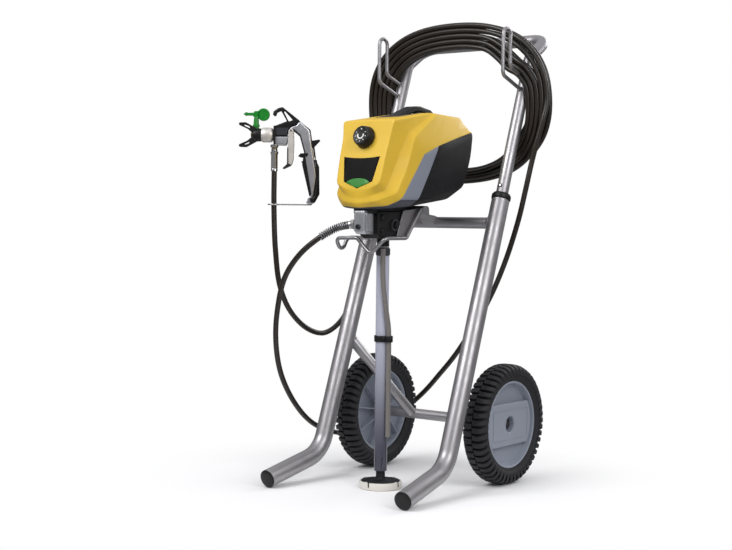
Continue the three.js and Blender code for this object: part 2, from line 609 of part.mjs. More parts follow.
function addHose() {
  add('spring_guard', sweep(new Stretch(PUMP_ROUTE, 0, GUARD_LENGTH), 6, 8.5, 12), bareSteel);
  add('hose_pump_run', sweep(new Stretch(PUMP_ROUTE, GUARD_LENGTH + GAP, Infinity), 44, HOSE_RADIUS, 8), hoseRubber);
  add('hose_gun_run', sweep(new Stretch(GUN_ROUTE, GAP, Infinity), 28, HOSE_RADIUS, 8), hoseRubber);
  add('hose_coil', coilSolid(), hoseRubber);
  const ferrule = [[0, -50], [7.2, -50], [7.2, -12], [8.6, -12], [8.6, -8.5], [0, -8.5]];
  add('hose_ferrule', turned(ferrule, point(GUN.x, GUN.y, GUN.z), point(0, 0, 1), 16), bareSteel);
}

// ---------------------------------------------------------------- spray gun
// Local x runs back from the hose's axis, local y is across and local z is up.
const gun = new THREE.Group();
gun.position.set(GUN.x, GUN.y, GUN.z);
gun.rotation.z = GUN_TURN;
model.add(gun);

const TRIGGER_PIVOT = { x: 35.5, z: 35 };
const TIP_X = -38.8;

function addGunBody() {
  const frame = plate([[-2, 6.4], [27, 6.4], [31, 15], [39, 35.6], [53.7, 23.4], [63.4, -10.6], [59.8, -35],
    [76, -104], [84, -104], [90, -60], [84, -20], [80.4, -1], [74.3, 36.8], [54, 56], [46, 47], [34, 43], [28, 23.4],
    [-2, 23.4]], 'y', 22);
  const pinHole = bar(point(TRIGGER_PIVOT.x, -20, TRIGGER_PIVOT.z), point(TRIGGER_PIVOT.x, 20, TRIGGER_PIVOT.z),
    2.5 + GAP);
  add('gun_body', cut(frame, pinHole), castAluminium, gun);
  const cover = plate([[0.4, 23.8], [27.6, 23.8], [33.4, 43.5], [45.6, 47.6], [53.4, 56.6], [17.2, 84.7], [4, 78],
    [-3, 68.4], [3.5, 68.4], [8, 74], [14.8, 76.5], [27, 55], [0.4, 44]], 'y', 24);
  add('gun_cover', cover, blackPlastic, gun);
  const grip = plate([[84.6, -18], [95, -40], [96.2, -98], [86, -117], [74, -117], [72.6, -104.4], [84.4, -104.4],
    [90.4, -60]], 'y', 26);
  const spike = plate([[81, 3], [84, 2], [96.2, 15], [95, 17.5], [78.6, 14]], 'y', 14);
  const step = plate([[80.8, 3.6], [84.6, 3], [88, -26], [84.6, -17.7]], 'y', 14);
  add('gun_grip', join(grip, spike, step), blackPlastic, gun);
  const inlet = [[0, -8.2], [8.5, -8.2], [8.5, 6], [0, 6]];
  add('gun_swivel', turned(inlet, point(0, 0, 0), point(0, 0, 1), 12), bareSteel, gun);
}

function addTrigger() {
  const { x, z } = TRIGGER_PIVOT;
  const cheek = [[x - 5, z + 1], [x, z + 5], [x + 5, z + 1], [41.5, 8], [40.3, -25], [37, -37], [29, -34],
    [28.2, 0], [29, 12]];
  const cheeks = [-13.8, 13.8].map((y) => plate(cheek, 'y', 2.2, y));
  const face = plate([[28.2, 0], [31.2, 1], [32, -34], [37, -37.4], [19.6, -45.9], [18.6, -43], [28.6, -35]], 'y', 29.8);
  const hole = bar(point(x, -30, z), point(x, 30, z), 2.5 + GAP);
  add('trigger', cut(join(cheeks[0], cheeks[1], face), hole), castAluminium, gun);
  const pin = ring(0, 2.5, -15.6, 15.6).slice(0, 4);
  add('trigger_pin', turned(pin, point(x, 0, z), point(0, 1, 0), 14), bareSteel, gun);
  const finger = plate([[50, -18.2], [60.2, -18.2], [60.2, -13.8], [50, -13.8]], 'y', 8);
  // the lugs lie between the handle and the trigger's cheeks, so that neither stops the other
  const lugs = [-11.85, 11.85].map((y) => plate([[55, -20], [71, -19], [71, -14], [55, -12]], 'y', 1.1, y));
  const yoke = plate([[55.8, -18.2], [60.2, -18.2], [60.2, -13.8], [55.8, -13.8]], 'y', 24.8);
  add('trigger_lock', join(finger, yoke, ...lugs), blackPlastic, gun);
}

function addGunNose() {
  const barrel = point(0, 0, BARREL_T);
  const forward = point(-1, 0, 0);
  add('nozzle_nut', turned([[0, 2.4], [11, 2.4], [14, 3.9], [15.8, 8], [15.8, 24], [13.5, 27.7], [0, 27.7]], barrel,
    forward, 24), bareSteel, gun);
  const hubProfile = [[0, 28], [13.5, 28], [14, 40], [10, 48], [0, 48]];
  const prongs = [1, -1].map((way) => plate([[-46, 3 * way], [-62, 25.8 * way], [-74, 24.4 * way], [-74, 20 * way],
    [-56, 13 * way], [-46.5, -4 * way], [-36, 0], [-34, 12 * way]].map(([s, t]) => [s, t + BARREL_T]), 'y', 22));
  const tipBore = bar(point(TIP_X, 0, BARREL_T - 30), point(TIP_X, 0, BARREL_T + 30), 6 + GAP, 18);
  const spout = turned([[0, 44], [4, 44], [6.5, 80], [0, 80]], barrel, forward, 14);
  add('tip_guard', cut(join(turned(hubProfile, barrel, forward, 20), ...prongs), tipBore, spout), blackPlastic, gun);
  const stem = bar(point(TIP_X, 0, BARREL_T - 12), point(TIP_X, 0, 66), 6, 18);
  const flag = new THREE.CylinderGeometry(13.3, 13.3, 7, 20).translate(-23.5, 0, 68.8);
  const arrow = plate([[-66.5, 69.6], [-60, 74], [-42, 74.5], [-24, 76], [-24, 62], [-34, 63], [-46, 65], [-60, 65.5]],
    'y', 7);
  add('spray_tip', join(stem, flag, arrow), greenPlastic, gun);
}

function addHoseGuide() {
  const height = -120.6;
  const eye = new THREE.TorusGeometry(12, 1.6, 8, 24).translate(0, 0, height);
  const rod = bar(point(11.5, 0, height), point(81, 0, height), 1.6, 8);
  const foot = block(76, 84, -6, 6, height - 1.2, -117.4);
  add('hose_guide', join(eye, rod, foot), bareSteel, gun);
}

addFrame();
addAxle();
for (const [name, side] of SIDES) addWheel(name, side);
addHousing();
addDrive();
addPump();
addSuctionSet();
addBracket();
addPailHook();
addHose();
addGunBody();
addTrigger();
addGunNose();
addHoseGuide();

export default model;
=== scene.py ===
"""Looks of the cart-mounted airless paint sprayer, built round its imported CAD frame.

Shapes are written in millimetres in the part's own frame (+Z up, -Y front) and become metres in make_mesh().
"""
import math

import bmesh
import bpy
from mathutils import Matrix, Vector


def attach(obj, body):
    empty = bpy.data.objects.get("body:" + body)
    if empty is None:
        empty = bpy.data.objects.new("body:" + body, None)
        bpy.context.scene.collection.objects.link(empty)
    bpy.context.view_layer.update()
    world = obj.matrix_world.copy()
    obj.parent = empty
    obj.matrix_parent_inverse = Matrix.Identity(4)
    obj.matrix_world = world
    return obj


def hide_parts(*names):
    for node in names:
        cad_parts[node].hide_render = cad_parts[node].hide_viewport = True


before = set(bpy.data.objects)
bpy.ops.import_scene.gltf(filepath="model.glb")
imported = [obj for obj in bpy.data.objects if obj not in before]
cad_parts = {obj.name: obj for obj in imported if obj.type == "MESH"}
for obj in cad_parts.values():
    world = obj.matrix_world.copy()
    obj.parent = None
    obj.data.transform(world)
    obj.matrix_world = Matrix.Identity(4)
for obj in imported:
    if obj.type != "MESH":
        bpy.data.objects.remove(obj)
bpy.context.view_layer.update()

MM = 0.001
TAU = 2 * math.pi
scene = bpy.context.scene

# ------------------------------------------------------------------ shared dimensions, as in part.mjs
RAIL_X = 161.8
RAIL_RADIUS = 19
RAIL_LEAN = 0.3565
BEND_Z = 56.2
FOOT = Vector((172.8, -161, 18.5))
RAIL_TOP_Z = 600
HANDLE_RADIUS = 13
GRIP_Y, GRIP_Z, HANDLE_BEND_Z = 375, 953, 908
WHEEL = Vector((169, 209, 127))
WIRE_RADIUS = 4
CROSSBAR_Z = 551
HOOK_FRONT, HOOK_REAR, HOOK_TOP = (194.9, 862), (223.5, 881), 959.3
HOSE_RADIUS = 5.75
GUN = Vector((-235.5, -73, 706))
GUN_M = Matrix.Translation(GUN) @ Matrix.Rotation(math.radians(37.5), 4, "Z")
KNOB_TILT = 0.26
KNOB_AXIS = Vector((0, -math.cos(KNOB_TILT), math.sin(KNOB_TILT)))
KNOB_BASE = Vector((0, -62.5, 721))
GLAND_BASE, GLAND_AXIS = Vector((50, 189.5, 652)), Vector((0, 0.933, -0.361))
FITTING_BASE, FITTING_AXIS = Vector((-12.3, -72, 547)), Vector((-36, -11, -6)).normalized()
FITTING_END = 17
GUARD_LENGTH = 66
SIDES = (("left", -1), ("right", 1))
RAIL_UP = Vector((0, RAIL_LEAN, 1)).normalized()
RAIL_FRONT = Vector((0, -1, RAIL_LEAN)).normalized()


def rail_point(side, z):
    return Vector((side * RAIL_X, (z - BEND_Z) * RAIL_LEAN, z))


# ------------------------------------------------------------------ camera
def add_camera():
    data = bpy.data.cameras.new("camera")
    data.lens, data.sensor_width = 68.5, 36
    camera = bpy.data.objects.new("camera", data)
    scene.collection.objects.link(camera)
    forward = Vector((-0.608, 0.793, -0.041)).normalized()
    up = Vector((-0.034, 0.026, 0.999))
    right = forward.cross(up).normalized()
    up = right.cross(forward)
    turn = Matrix((right, up, -forward)).transposed().to_4x4()
    camera.matrix_world = Matrix.Translation((1.7201, -2.30015, 0.5592)) @ turn
    scene.camera = camera


add_camera()


# ------------------------------------------------------------------ materials
def linear(rgb):
    channels = (v / 255 for v in rgb)
    return tuple(c / 12.92 if c <= 0.04045 else ((c + 0.055) / 1.055) ** 2.4 for c in channels)


def add_node(tree, kind, settings=None, **inputs):
    """A new node with its settings and input values; an underscore in an input's name stands for a space."""
    node = tree.nodes.new("ShaderNode" + kind)
    for key, value in (settings or {}).items():
        setattr(node, key, value)
    for key, value in inputs.items():
        node.inputs[key.replace("_", " ")].default_value = value
    return node


def surface(name, rgb, roughness, metallic=0.0, grain=(900, 0.15), mottle=0.06, coat=0.0, flake=0.0,
            transmission=0.0, tint_low=None, worn=0.0, specular=0.5):
    """A moulded, painted or metal finish: fine grain, uneven gloss, a little dirt and paler worn edges."""
    material = bpy.data.materials.new(name)
    material.use_nodes = True
    tree = material.node_tree
    links, shader = tree.links, tree.nodes["Principled BSDF"]
    place = add_node(tree, "TexCoord")

    def noise(scale, detail, rough=0.55):
        node = add_node(tree, "TexNoise", Scale=scale, Detail=detail, Roughness=rough)
        links.new(place.outputs["Object"], node.inputs["Vector"])
        return node

    base = linear(rgb)
    dark = tuple(c * (1 - 1.6 * mottle) for c in base)
    light = tuple(min(1.0, c * (1 + mottle)) for c in base)
    ramp = add_node(tree, "ValToRGB")
    ramp.color_ramp.elements[0].position, ramp.color_ramp.elements[1].position = 0.3, 0.7
    ramp.color_ramp.elements[0].color, ramp.color_ramp.elements[1].color = (*dark, 1), (*light, 1)
    links.new(noise(9, 6, 0.65).outputs["Fac"], ramp.inputs["Fac"])
    colour = ramp.outputs["Color"]

    def blend(fac, second, first):
        mix = add_node(tree, "Mix", {"data_type": "RGBA"})
        links.new(fac, mix.inputs["Factor"])
        links.new(first, mix.inputs["A"])
        mix.inputs["B"].default_value = (*second, 1)
        return mix.outputs["Result"]

    if tint_low:
        parts = add_node(tree, "SeparateXYZ")
        links.new(place.outputs["Object"], parts.inputs[0])
        height = add_node(tree, "MapRange", {"interpolation_type": "SMOOTHSTEP"}, From_Min=tint_low[1],
                          From_Max=tint_low[2], To_Min=1, To_Max=0)
        links.new(parts.outputs["Z"], height.inputs["Value"])
        colour = blend(height.outputs["Result"], linear(tint_low[0]), colour)
    if worn:
        edge = add_node(tree, "NewGeometry")
        sharp = add_node(tree, "MapRange", From_Min=0.54, From_Max=0.68, To_Max=worn)
        links.new(edge.outputs["Pointiness"], sharp.inputs["Value"])
        patch = add_node(tree, "Math", {"operation": "MULTIPLY"})
        links.new(sharp.outputs["Result"], patch.inputs[0])
        links.new(noise(160, 4).outputs["Fac"], patch.inputs[1])
        colour = blend(patch.outputs[0], tuple(min(1.0, c * 1.5 + 0.05) for c in base), colour)
    links.new(colour, shader.inputs["Base Color"])

    gloss = add_node(tree, "MapRange", From_Min=0.3, From_Max=0.7, To_Min=max(0.03, roughness - 0.06),
                     To_Max=min(1, roughness + 0.08))
    links.new(noise(34, 5).outputs["Fac"], gloss.inputs["Value"])
    links.new(gloss.outputs["Result"], shader.inputs["Roughness"])

    bump = add_node(tree, "Bump", Strength=grain[1], Distance=0.0002)
    links.new(noise(grain[0], 3, 0.5).outputs["Fac"], bump.inputs["Height"])
    normal = bump.outputs["Normal"]
    if flake:
        cells = add_node(tree, "TexVoronoi", Scale=2600)
        links.new(place.outputs["Object"], cells.inputs["Vector"])
        sparkle = add_node(tree, "Bump", Strength=flake, Distance=0.0001)
        links.new(cells.outputs["Distance"], sparkle.inputs["Height"])
        links.new(normal, sparkle.inputs["Normal"])
        normal = sparkle.outputs["Normal"]
    links.new(normal, shader.inputs["Normal"])
    for key, value in (("Metallic", metallic), ("Coat Weight", coat), ("Coat Roughness", 0.12),
                       ("Specular IOR Level", specular), ("Transmission Weight", transmission)):
        shader.inputs[key].default_value = value
    return material


silver = surface("silver_paint", (163, 161, 164), 0.40, 0.85, (700, 0.08), 0.04, 0.15, 0.08, worn=0.25)
yellow = surface("yellow_plastic", (230, 190, 62), 0.44, 0, (1500, 0.10), 0.02, 0.05, worn=0.2,
                 specular=0.3)
side_grey = surface("grey_plastic", (136, 142, 156), 0.46, 0, (1300, 0.16), 0.03, worn=0.3)
charcoal = surface("charcoal_plastic", (21, 21, 24), 0.52, 0, (1400, 0.22), 0.06, worn=0.3, specular=0.3)
black = surface("black_plastic", (16, 16, 18), 0.42, 0, (1400, 0.18), 0.06, worn=0.3, specular=0.35)
dark_trim = surface("dark_trim", (44, 45, 52), 0.42, 0, (1300, 0.18), 0.05, worn=0.3)
tyre = surface("tyre_rubber", (38, 38, 41), 0.64, 0, (500, 0.35), 0.14, worn=0.35, specular=0.35)
rubber = surface("hose_rubber", (36, 29, 24), 0.36, 0, (420, 0.12), 0.16, specular=0.5)
rim_grey = surface("rim_plastic", (144, 150, 163), 0.44, 0, (1200, 0.14), 0.035, worn=0.2)
steel = surface("bare_steel", (196, 196, 198), 0.24, 1, (600, 0.08), 0.05)
dark_steel = surface("dark_steel", (74, 74, 80), 0.36, 0.9, (600, 0.12), 0.08)
cast = surface("cast_aluminium", (196, 197, 203), 0.34, 0.85, (520, 0.2), 0.05, worn=0.3)
nut_finish = surface("pale_alloy", (226, 221, 216), 0.42, 0.6, (600, 0.1), 0.04)
brass = surface("brass", (190, 154, 84), 0.32, 1, (600, 0.1), 0.08)
clear = surface("clear_tube", (220, 222, 240), 0.16, 0, (300, 0.04), 0.03, 0.4, transmission=0.35,
                tint_low=((58, 58, 78), 0.03, 0.36))
return_grey = surface("return_tube", (122, 118, 115), 0.3, 0, (500, 0.06), 0.04, 0.2)
strainer_pale = surface("strainer_plastic", (218, 213, 206), 0.5, 0, (900, 0.2), 0.05)
green = surface("green_plastic", (16, 132, 36), 0.34, 0, (1100, 0.12), 0.05, 0.2)
label_black = surface("label_film", (9, 9, 10), 0.5, 0, (2200, 0.05), 0.03, 0.0, specular=0.12)
spring_steel = surface("spring_steel", (132, 132, 136), 0.36, 0.9, (600, 0.08), 0.05)
label_green = surface("label_green", (40, 130, 38), 0.35, 0, (2200, 0.05), 0.03, 0.1)
print_white = surface("print_white", (236, 236, 232), 0.4, 0, (1800, 0.05), 0.03)
skirt_grey = surface("skirt_plastic", (70, 73, 86), 0.46, 0, (1300, 0.18), 0.05, worn=0.3)


# ------------------------------------------------------------------ mesh helpers
def make_mesh(name, vertices, faces, material, nodes=(), body="cart", matrix=None, sharp=35):
    """A piece from vertices in millimetres, riding on its body and standing for its CAD nodes."""
    mesh = bpy.data.meshes.new(name)
    mesh.from_pydata([tuple(v) for v in vertices], [], faces)
    if matrix is not None:
        mesh.transform(matrix)
    mesh.transform(Matrix.Scale(MM, 4))
    tidy_mesh(mesh)
    return finish_piece(name, mesh, material, nodes, body, sharp)


def tidy_mesh(mesh):
    work = bmesh.new()
    work.from_mesh(mesh)
    bmesh.ops.remove_doubles(work, verts=work.verts, dist=2e-6)
    bmesh.ops.dissolve_degenerate(work, edges=work.edges, dist=1e-6)
    bmesh.ops.recalc_face_normals(work, faces=work.faces)
    work.to_mesh(mesh)
    work.free()


def finish_piece(name, mesh, material, nodes=(), body="cart", sharp=35):
    piece = bpy.data.objects.new(name, mesh)
    scene.collection.objects.link(piece)
    mesh.materials.append(material)
    mesh.shade_smooth()
    mesh.set_sharp_from_angle(angle=math.radians(sharp))
    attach(piece, body)
    if nodes:
        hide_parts(*([nodes] if isinstance(nodes, str) else nodes))
    return piece


def bevel(piece, width, segments=3, angle=30):
    modifier = piece.modifiers.new("rounded_edges", "BEVEL")
    modifier.width, modifier.segments = width * MM, segments
    modifier.limit_method, modifier.angle_limit = "ANGLE", math.radians(angle)
    modifier.harden_normals = False
    return piece


def frames_along(points, closed=False):
    """Each point's tangent and two square directions, carried along the line without twisting."""
    count = len(points)
    tangents = []
    for i in range(count):
        before = points[i - 1] if i or closed else points[0]
        after = points[(i + 1) % count] if i < count - 1 or closed else points[-1]
        tangents.append((after - before).normalized())
    side = tangents[0].orthogonal().normalized()
    frames = []
    for i, tangent in enumerate(tangents):
        side = (side - tangent * side.dot(tangent)).normalized()
        frames.append((tangent, side, tangent.cross(side)))
    if closed:
        tangent, first, _ = frames[0]
        last = (side - tangent * side.dot(tangent)).normalized()
        twist = math.atan2(tangent.dot(last.cross(first)), last.dot(first))
        turned = []
        for i, (t, u, v) in enumerate(frames):
            angle = twist * i / count
            turned.append((t, u * math.cos(angle) + v * math.sin(angle),
                           v * math.cos(angle) - u * math.sin(angle)))
        frames = turned
    return frames


def sweep(points, radius, sides, closed=False, caps=True, rounded=0.0):
    """Vertices and faces of a round bar along points; radius is a number or a function of the index."""
    frames = frames_along(points, closed)
    size = radius if callable(radius) else (lambda i: radius)
    rings = []

    def ring(centre, frame_at, r):
        _, u, v = frame_at
        angles = [TAU * k / sides for k in range(sides)]
        return [centre + (u * math.cos(a) + v * math.sin(a)) * r for a in angles]

    def rounded_end(at, way, steps):
        for step in steps:
            a = math.pi / 2 * step / 3
            centre = points[at] + frames[at][0] * (way * rounded * (1 - math.cos(a)))
            rings.append(ring(centre, frames[at], size(at) - rounded * (1 - math.sin(a))))

    last_point = len(points) - 1
    if rounded:
        rounded_end(0, 1, (0, 1, 2))
    for i, point in enumerate(points):
        inward = {0: rounded, last_point: -rounded}.get(i, 0)
        rings.append(ring(point + frames[i][0] * inward, frames[i], size(i)))
    if rounded:
        rounded_end(last_point, -1, (2, 1, 0))
    vertices = [v for r in rings for v in r]
    faces = []
    total = len(rings)
    for i in range(total if closed else total - 1):
        for k in range(sides):
            a, b = i * sides + k, i * sides + (k + 1) % sides
            c, d = (i + 1) % total * sides + (k + 1) % sides, (i + 1) % total * sides + k
            faces.append((a, b, c, d))
    if not closed and caps:
        faces.append(tuple(range(sides))[::-1])
        faces.append(tuple((total - 1) * sides + k for k in range(sides)))
    return vertices, faces


def tube(name, points, radius, material, nodes=(), body="cart", slot=None, sides=32, **how):
    vertices, faces = sweep([Vector(p) for p in points], radius, sides, **how)
    return make_mesh(name, vertices, faces, material, nodes, body)


def rounded_line(corners, radius, steps=10):
    """Points along straight lines whose corners are rounded to arcs."""
    corners = [Vector(c) for c in corners]
    points = [corners[0]]
    for before, corner, after in zip(corners, corners[1:], corners[2:]):
        into, out = (corner - before).normalized(), (after - corner).normalized()
        angle = into.angle(out)
        start = corner - into * radius * math.tan(angle / 2)
        inward = (out - into * into.dot(out)).normalized()
        centre = start + inward * radius
        for step in range(steps + 1):
            turn = angle * step / steps
            points.append(centre - inward * radius * math.cos(turn) + into * radius * math.sin(turn))
    points.append(corners[-1])
    return points


def centripetal(points, step):
    """A smooth line through the points, the same curve as part.mjs sweeps its hose along."""
    points = [Vector(p) for p in points]
    ghost = [2 * points[0] - points[1], *points, 2 * points[-1] - points[-2]]
    line = []
    for p0, p1, p2, p3 in zip(ghost, ghost[1:], ghost[2:], ghost[3:]):
        d0, d1, d2 = ((b - a).length ** 0.5 for a, b in ((p0, p1), (p1, p2), (p2, p3)))
        m1 = ((p1 - p0) / d0 - (p2 - p0) / (d0 + d1) + (p2 - p1) / d1) * d1
        m2 = ((p2 - p1) / d1 - (p3 - p1) / (d1 + d2) + (p3 - p2) / d2) * d1
        count = max(2, math.ceil((p2 - p1).length / step))
        for i in range(count):
            t = i / count
            line.append(p1 * (2 * t**3 - 3 * t**2 + 1) + m1 * (t**3 - 2 * t**2 + t)
                        + p2 * (-2 * t**3 + 3 * t**2) + m2 * (t**3 - t**2))
    return [*line, points[-1]]


def stretch(line, start, end):
    """The part of a line between two distances along it."""
    kept, gone = [], 0.0
    for a, b in zip(line, line[1:]):
        step = (b - a).length
        if gone <= start < gone + step:
            kept.append(a.lerp(b, (start - gone) / step))
        if kept and end <= gone + step:
            kept.append(a.lerp(b, (end - gone) / step))
            return kept
        if kept:
            kept.append(b)
        gone += step
    return kept


def placed(base, axis):
    """The matrix that puts local +Z along axis, with the origin at base."""
    turn = Vector((0, 0, 1)).rotation_difference(Vector(axis))
    return Matrix.Translation(Vector(base)) @ turn.to_matrix().to_4x4()


def lathe_data(profile, segments):
    vertices, rows = [], []
    for radius, height in profile:
        if radius < 1e-6:
            rows.append([len(vertices)] * segments)
            vertices.append(Vector((0, 0, height)))
        else:
            rows.append(list(range(len(vertices), len(vertices) + segments)))
            vertices += [Vector((radius * math.cos(TAU * k / segments),
                                 radius * math.sin(TAU * k / segments), height)) for k in range(segments)]
    faces = []
    for low, high in zip(rows, rows[1:]):
        for k in range(segments):
            n = (k + 1) % segments
            corners = list(dict.fromkeys((low[k], low[n], high[n], high[k])))
            if len(corners) > 2:
                faces.append(tuple(corners))
    return vertices, faces


def lathe(name, profile, matrix, material, nodes=(), body="cart", segments=48, sharp=35):
    """A turned piece from its profile of radius and height, placed by a matrix."""
    vertices, faces = lathe_data(profile, segments)
    return make_mesh(name, vertices, faces, material, nodes, body, matrix, sharp)


def round_outline(points, radius, steps=4):
    """A flat outline with rounded corners; a point's third number is a radius of its own."""
    count = len(points)
    result = []
    for i, point in enumerate(points):
        here = Vector(point[:2])
        before, after = Vector(points[i - 1][:2]), Vector(points[(i + 1) % count][:2])
        into, out = here - before, after - here
        if into.length < 1e-6 or out.length < 1e-6:
            continue
        angle = into.angle(out)
        own = point[2] if len(point) > 2 else radius
        if angle < 0.05 or own <= 0:
            result.append(tuple(here))
            continue
        reach = min(own * math.tan(angle / 2), into.length * 0.48, out.length * 0.48)
        start, end = here - into.normalized() * reach, here + out.normalized() * reach
        for step in range(steps + 1):
            t = step / steps
            result.append(tuple(start * (1 - t) ** 2 + here * 2 * t * (1 - t) + end * t * t))
    return result


# An outline in Y and Z, thick along X.
ALONG_X = Matrix(((0, 0, 1, 0), (1, 0, 0, 0), (0, 1, 0, 0), (0, 0, 0, 1)))
# An outline in X and Z, thick along Y.
ALONG_Y = Matrix(((1, 0, 0, 0), (0, 0, -1, 0), (0, 1, 0, 0), (0, 0, 0, 1)))


def plate(name, outlines, thick, edge, matrix, material, nodes=(), body="cart", sharp=35,
          middle=0.0):
    """A flat piece with rounded edges. The first outline is its rim and any others are holes."""
    curve = bpy.data.curves.new(name, "CURVE")
    curve.dimensions, curve.fill_mode = "2D", "BOTH"
    curve.extrude = max(0.0, thick / 2 - edge)
    curve.bevel_depth, curve.bevel_resolution, curve.offset = edge, 3, -edge
    for outline in outlines:
        spline = curve.splines.new("POLY")
        spline.points.add(len(outline) - 1)
        for point, (a, b) in zip(spline.points, outline):
            point.co = (a, b, 0, 1)
        spline.use_cyclic_u = True
    holder = bpy.data.objects.new(name + "_outline", curve)
    scene.collection.objects.link(holder)
    bpy.context.view_layer.update()
    mesh = bpy.data.meshes.new_from_object(holder.evaluated_get(bpy.context.evaluated_depsgraph_get()))
    bpy.data.objects.remove(holder)
    mesh.name = name
    mesh.materials.clear()
    mesh.transform(Matrix.Scale(MM, 4) @ matrix @ Matrix.Translation((0, 0, middle)))
    tidy_mesh(mesh)
    piece = finish_piece(name, mesh, material, nodes, body, sharp)
    piece.modifiers.new("flat_shading", "WEIGHTED_NORMAL").keep_sharp = True
    return piece


# ------------------------------------------------------------------ hose
fitting_end = FITTING_BASE + FITTING_AXIS * (FITTING_END + 0.3)
PUMP_ROUTE = [fitting_end, FITTING_BASE + FITTING_AXIS * 34, (-60, -95, 533), (-83, -110, 516),
              (-121, -121, 484), (-164, -118, 435), (-200, -100, 363), (-220, -81, 298), (-237, -47, 230),
              (-244, -5, 172), (-245, 44, 123), (-246, 92, 94), (-244, 168, 70), (-237, 231, 67),
              (-222, 292, 75), (-206, 330, 93), (-178, 356, 124), (-134, 352, 160), (-88, 338, 200),
              (-26, 318, 257), (78, 278, 375), (149, 238, 472), (182, 234, 560), (195, 240, 625),
              (204, 247, 680), (215, 252, 730), (225, 258, 775)]
GUN_ROUTE = [(GUN.x, GUN.y, GUN.z - 50), (GUN.x, GUN.y, 580), (-231, -72, 488), (-231, -57, 413),
             (-231, -23, 358), (-229, 34, 316), (-224, 87, 304), (-219, 142, 331), (-208, 172, 390),
             (-201, 192, 450), (-197, 210, 510), (-196, 230, 570), (-196, 254, 630), (-196, 270, 677)]
COIL_TURNS = 9  # passes under the bottom; the top has one more
LAYER_SLOTS = 5
STRAND = 2 * HOSE_RADIUS
COIL_X, COIL_Y, COIL_Z, COIL_TILT, COIL_POWER = -4, 270.5, 809, 0.07, 2.4
COIL_HALF_WIDTH, COIL_HALF_HEIGHT = 209, 150
FAN_GAP = 13  # how far the inner turns stand off the outer two at the right hook


def smooth(t):
    t = min(1.0, max(0.0, t))
    return t * t * (3 - 2 * t)


def coil_point(turns):
    """Where the hose is after so many turns from the right-hand side, going up and over to the left."""
    angle = TAU * turns
    whole, part = divmod(turns, 1.0)
    place_in_row = whole + smooth((part - 0.84) / 0.16)
    pinch = math.exp(-(((part - 0.77) / 0.115) ** 2))
    inner = LAYER_SLOTS - 1
    if place_in_row <= inner:
        out, layer = STRAND * (inner / 2 - place_in_row), -1.0
    elif place_in_row < inner + 1:
        half_turn = math.pi * (place_in_row - inner)
        out, layer = -STRAND * (inner / 2 + 0.5 * math.sin(half_turn)), -math.cos(half_turn)
    else:
        out, layer = STRAND * (place_in_row - inner - 1 - inner / 2), 1.0
    fan = math.exp(-((math.sin(angle / 2 - 0.36)) ** 2) / 0.025)
    left_fan = math.exp(-((math.cos(angle / 2 + 0.1)) ** 2) / 0.08)
    from_outside = inner / 2 - out / STRAND
    spread = (0.12 * fan + 0.12 * left_fan) * STRAND * from_outside
    out -= FAN_GAP * fan * smooth((from_outside - 0.9) / 0.9) + spread
    out = out * (1 - 0.5 * pinch) + 5 * pinch
    cos, sin = math.cos(angle), math.sin(angle)
    x = COIL_X + (COIL_HALF_WIDTH + out) * math.copysign(abs(cos) ** (2 / COIL_POWER), cos)
    z = COIL_Z + (COIL_HALF_HEIGHT + out) * math.copysign(abs(sin) ** (2 / COIL_POWER), sin)
    stagger = 5 * pinch * math.cos(math.pi * place_in_row)
    y = COIL_Y - COIL_TILT * (z - COIL_Z) + layer * (HOSE_RADIUS + 5 * pinch) + stagger
    return Vector((x, y, z))


def coil_points():
    turns, per_turn = COIL_TURNS + 0.56, 26
    count = round(turns * per_turn)
    return [coil_point(turns * i / count) for i in range(count + 1)]


def add_hose():
    off_coil = [(-215, 278, 722)]
    line = centripetal([*PUMP_ROUTE, *coil_points(), *off_coil, *reversed(GUN_ROUTE)], 5.0)
    vertices, faces = sweep(line, HOSE_RADIUS, 12)
    hose = make_mesh("hose", vertices, faces, rubber, ("hose_pump_run", "hose_coil", "hose_gun_run"))
    winding = stretch(line, 2.0, GUARD_LENGTH)
    turns, wire = 16, 1.3
    frames = frames_along(winding)
    coil = []
    per_turn = 14
    count = turns * per_turn
    for i in range(count + 1):
        at = i / count * (len(winding) - 1)
        low = min(int(at), len(winding) - 2)
        centre = winding[low].lerp(winding[low + 1], at - low)
        _, u, v = frames[low]
        angle = TAU * i / per_turn
        coil.append(centre + (u * math.cos(angle) + v * math.sin(angle)) * (8.4 - wire))
    guard = tube("spring_guard_coil", coil, wire, spring_steel, "spring_guard", sides=8)
    ferrule = lathe("hose_ferrule_sleeve", [(0, -50), (7.2, -50), (7.2, -46), (6.8, -45), (7.2, -44),
                                            (7.2, -15), (8.4, -13), (8.4, -9.2), (7.6, -8.6), (0, -8.6)],
                    GUN_M, steel, "hose_ferrule", segments=36)


add_hose()


# ------------------------------------------------------------------ cart frame
def weld(name, start, direction, radius, core, along, core_radius):
    """A weld bead where a round bar meets a thicker one."""
    direction, along = Vector(direction).normalized(), Vector(along).normalized()
    side = direction.orthogonal().normalized()
    other = direction.cross(side)
    ring = []
    for k in range(48):
        angle = TAU * k / 48
        origin = Vector(start) + (side * math.cos(angle) + other * math.sin(angle)) * radius
        gap = origin - Vector(core)
        across, flat = direction - along * direction.dot(along), gap - along * gap.dot(along)
        a, b, c = across.dot(across), 2 * across.dot(flat), flat.dot(flat) - core_radius**2
        root = b * b - 4 * a * c
        if root < 0:
            return None
        ring.append(origin + direction * ((-b - math.sqrt(root)) / (2 * a)))
    return tube(name, ring, lambda i: 1.5 + 0.35 * math.sin(i * 2.1), silver, sides=8, closed=True)


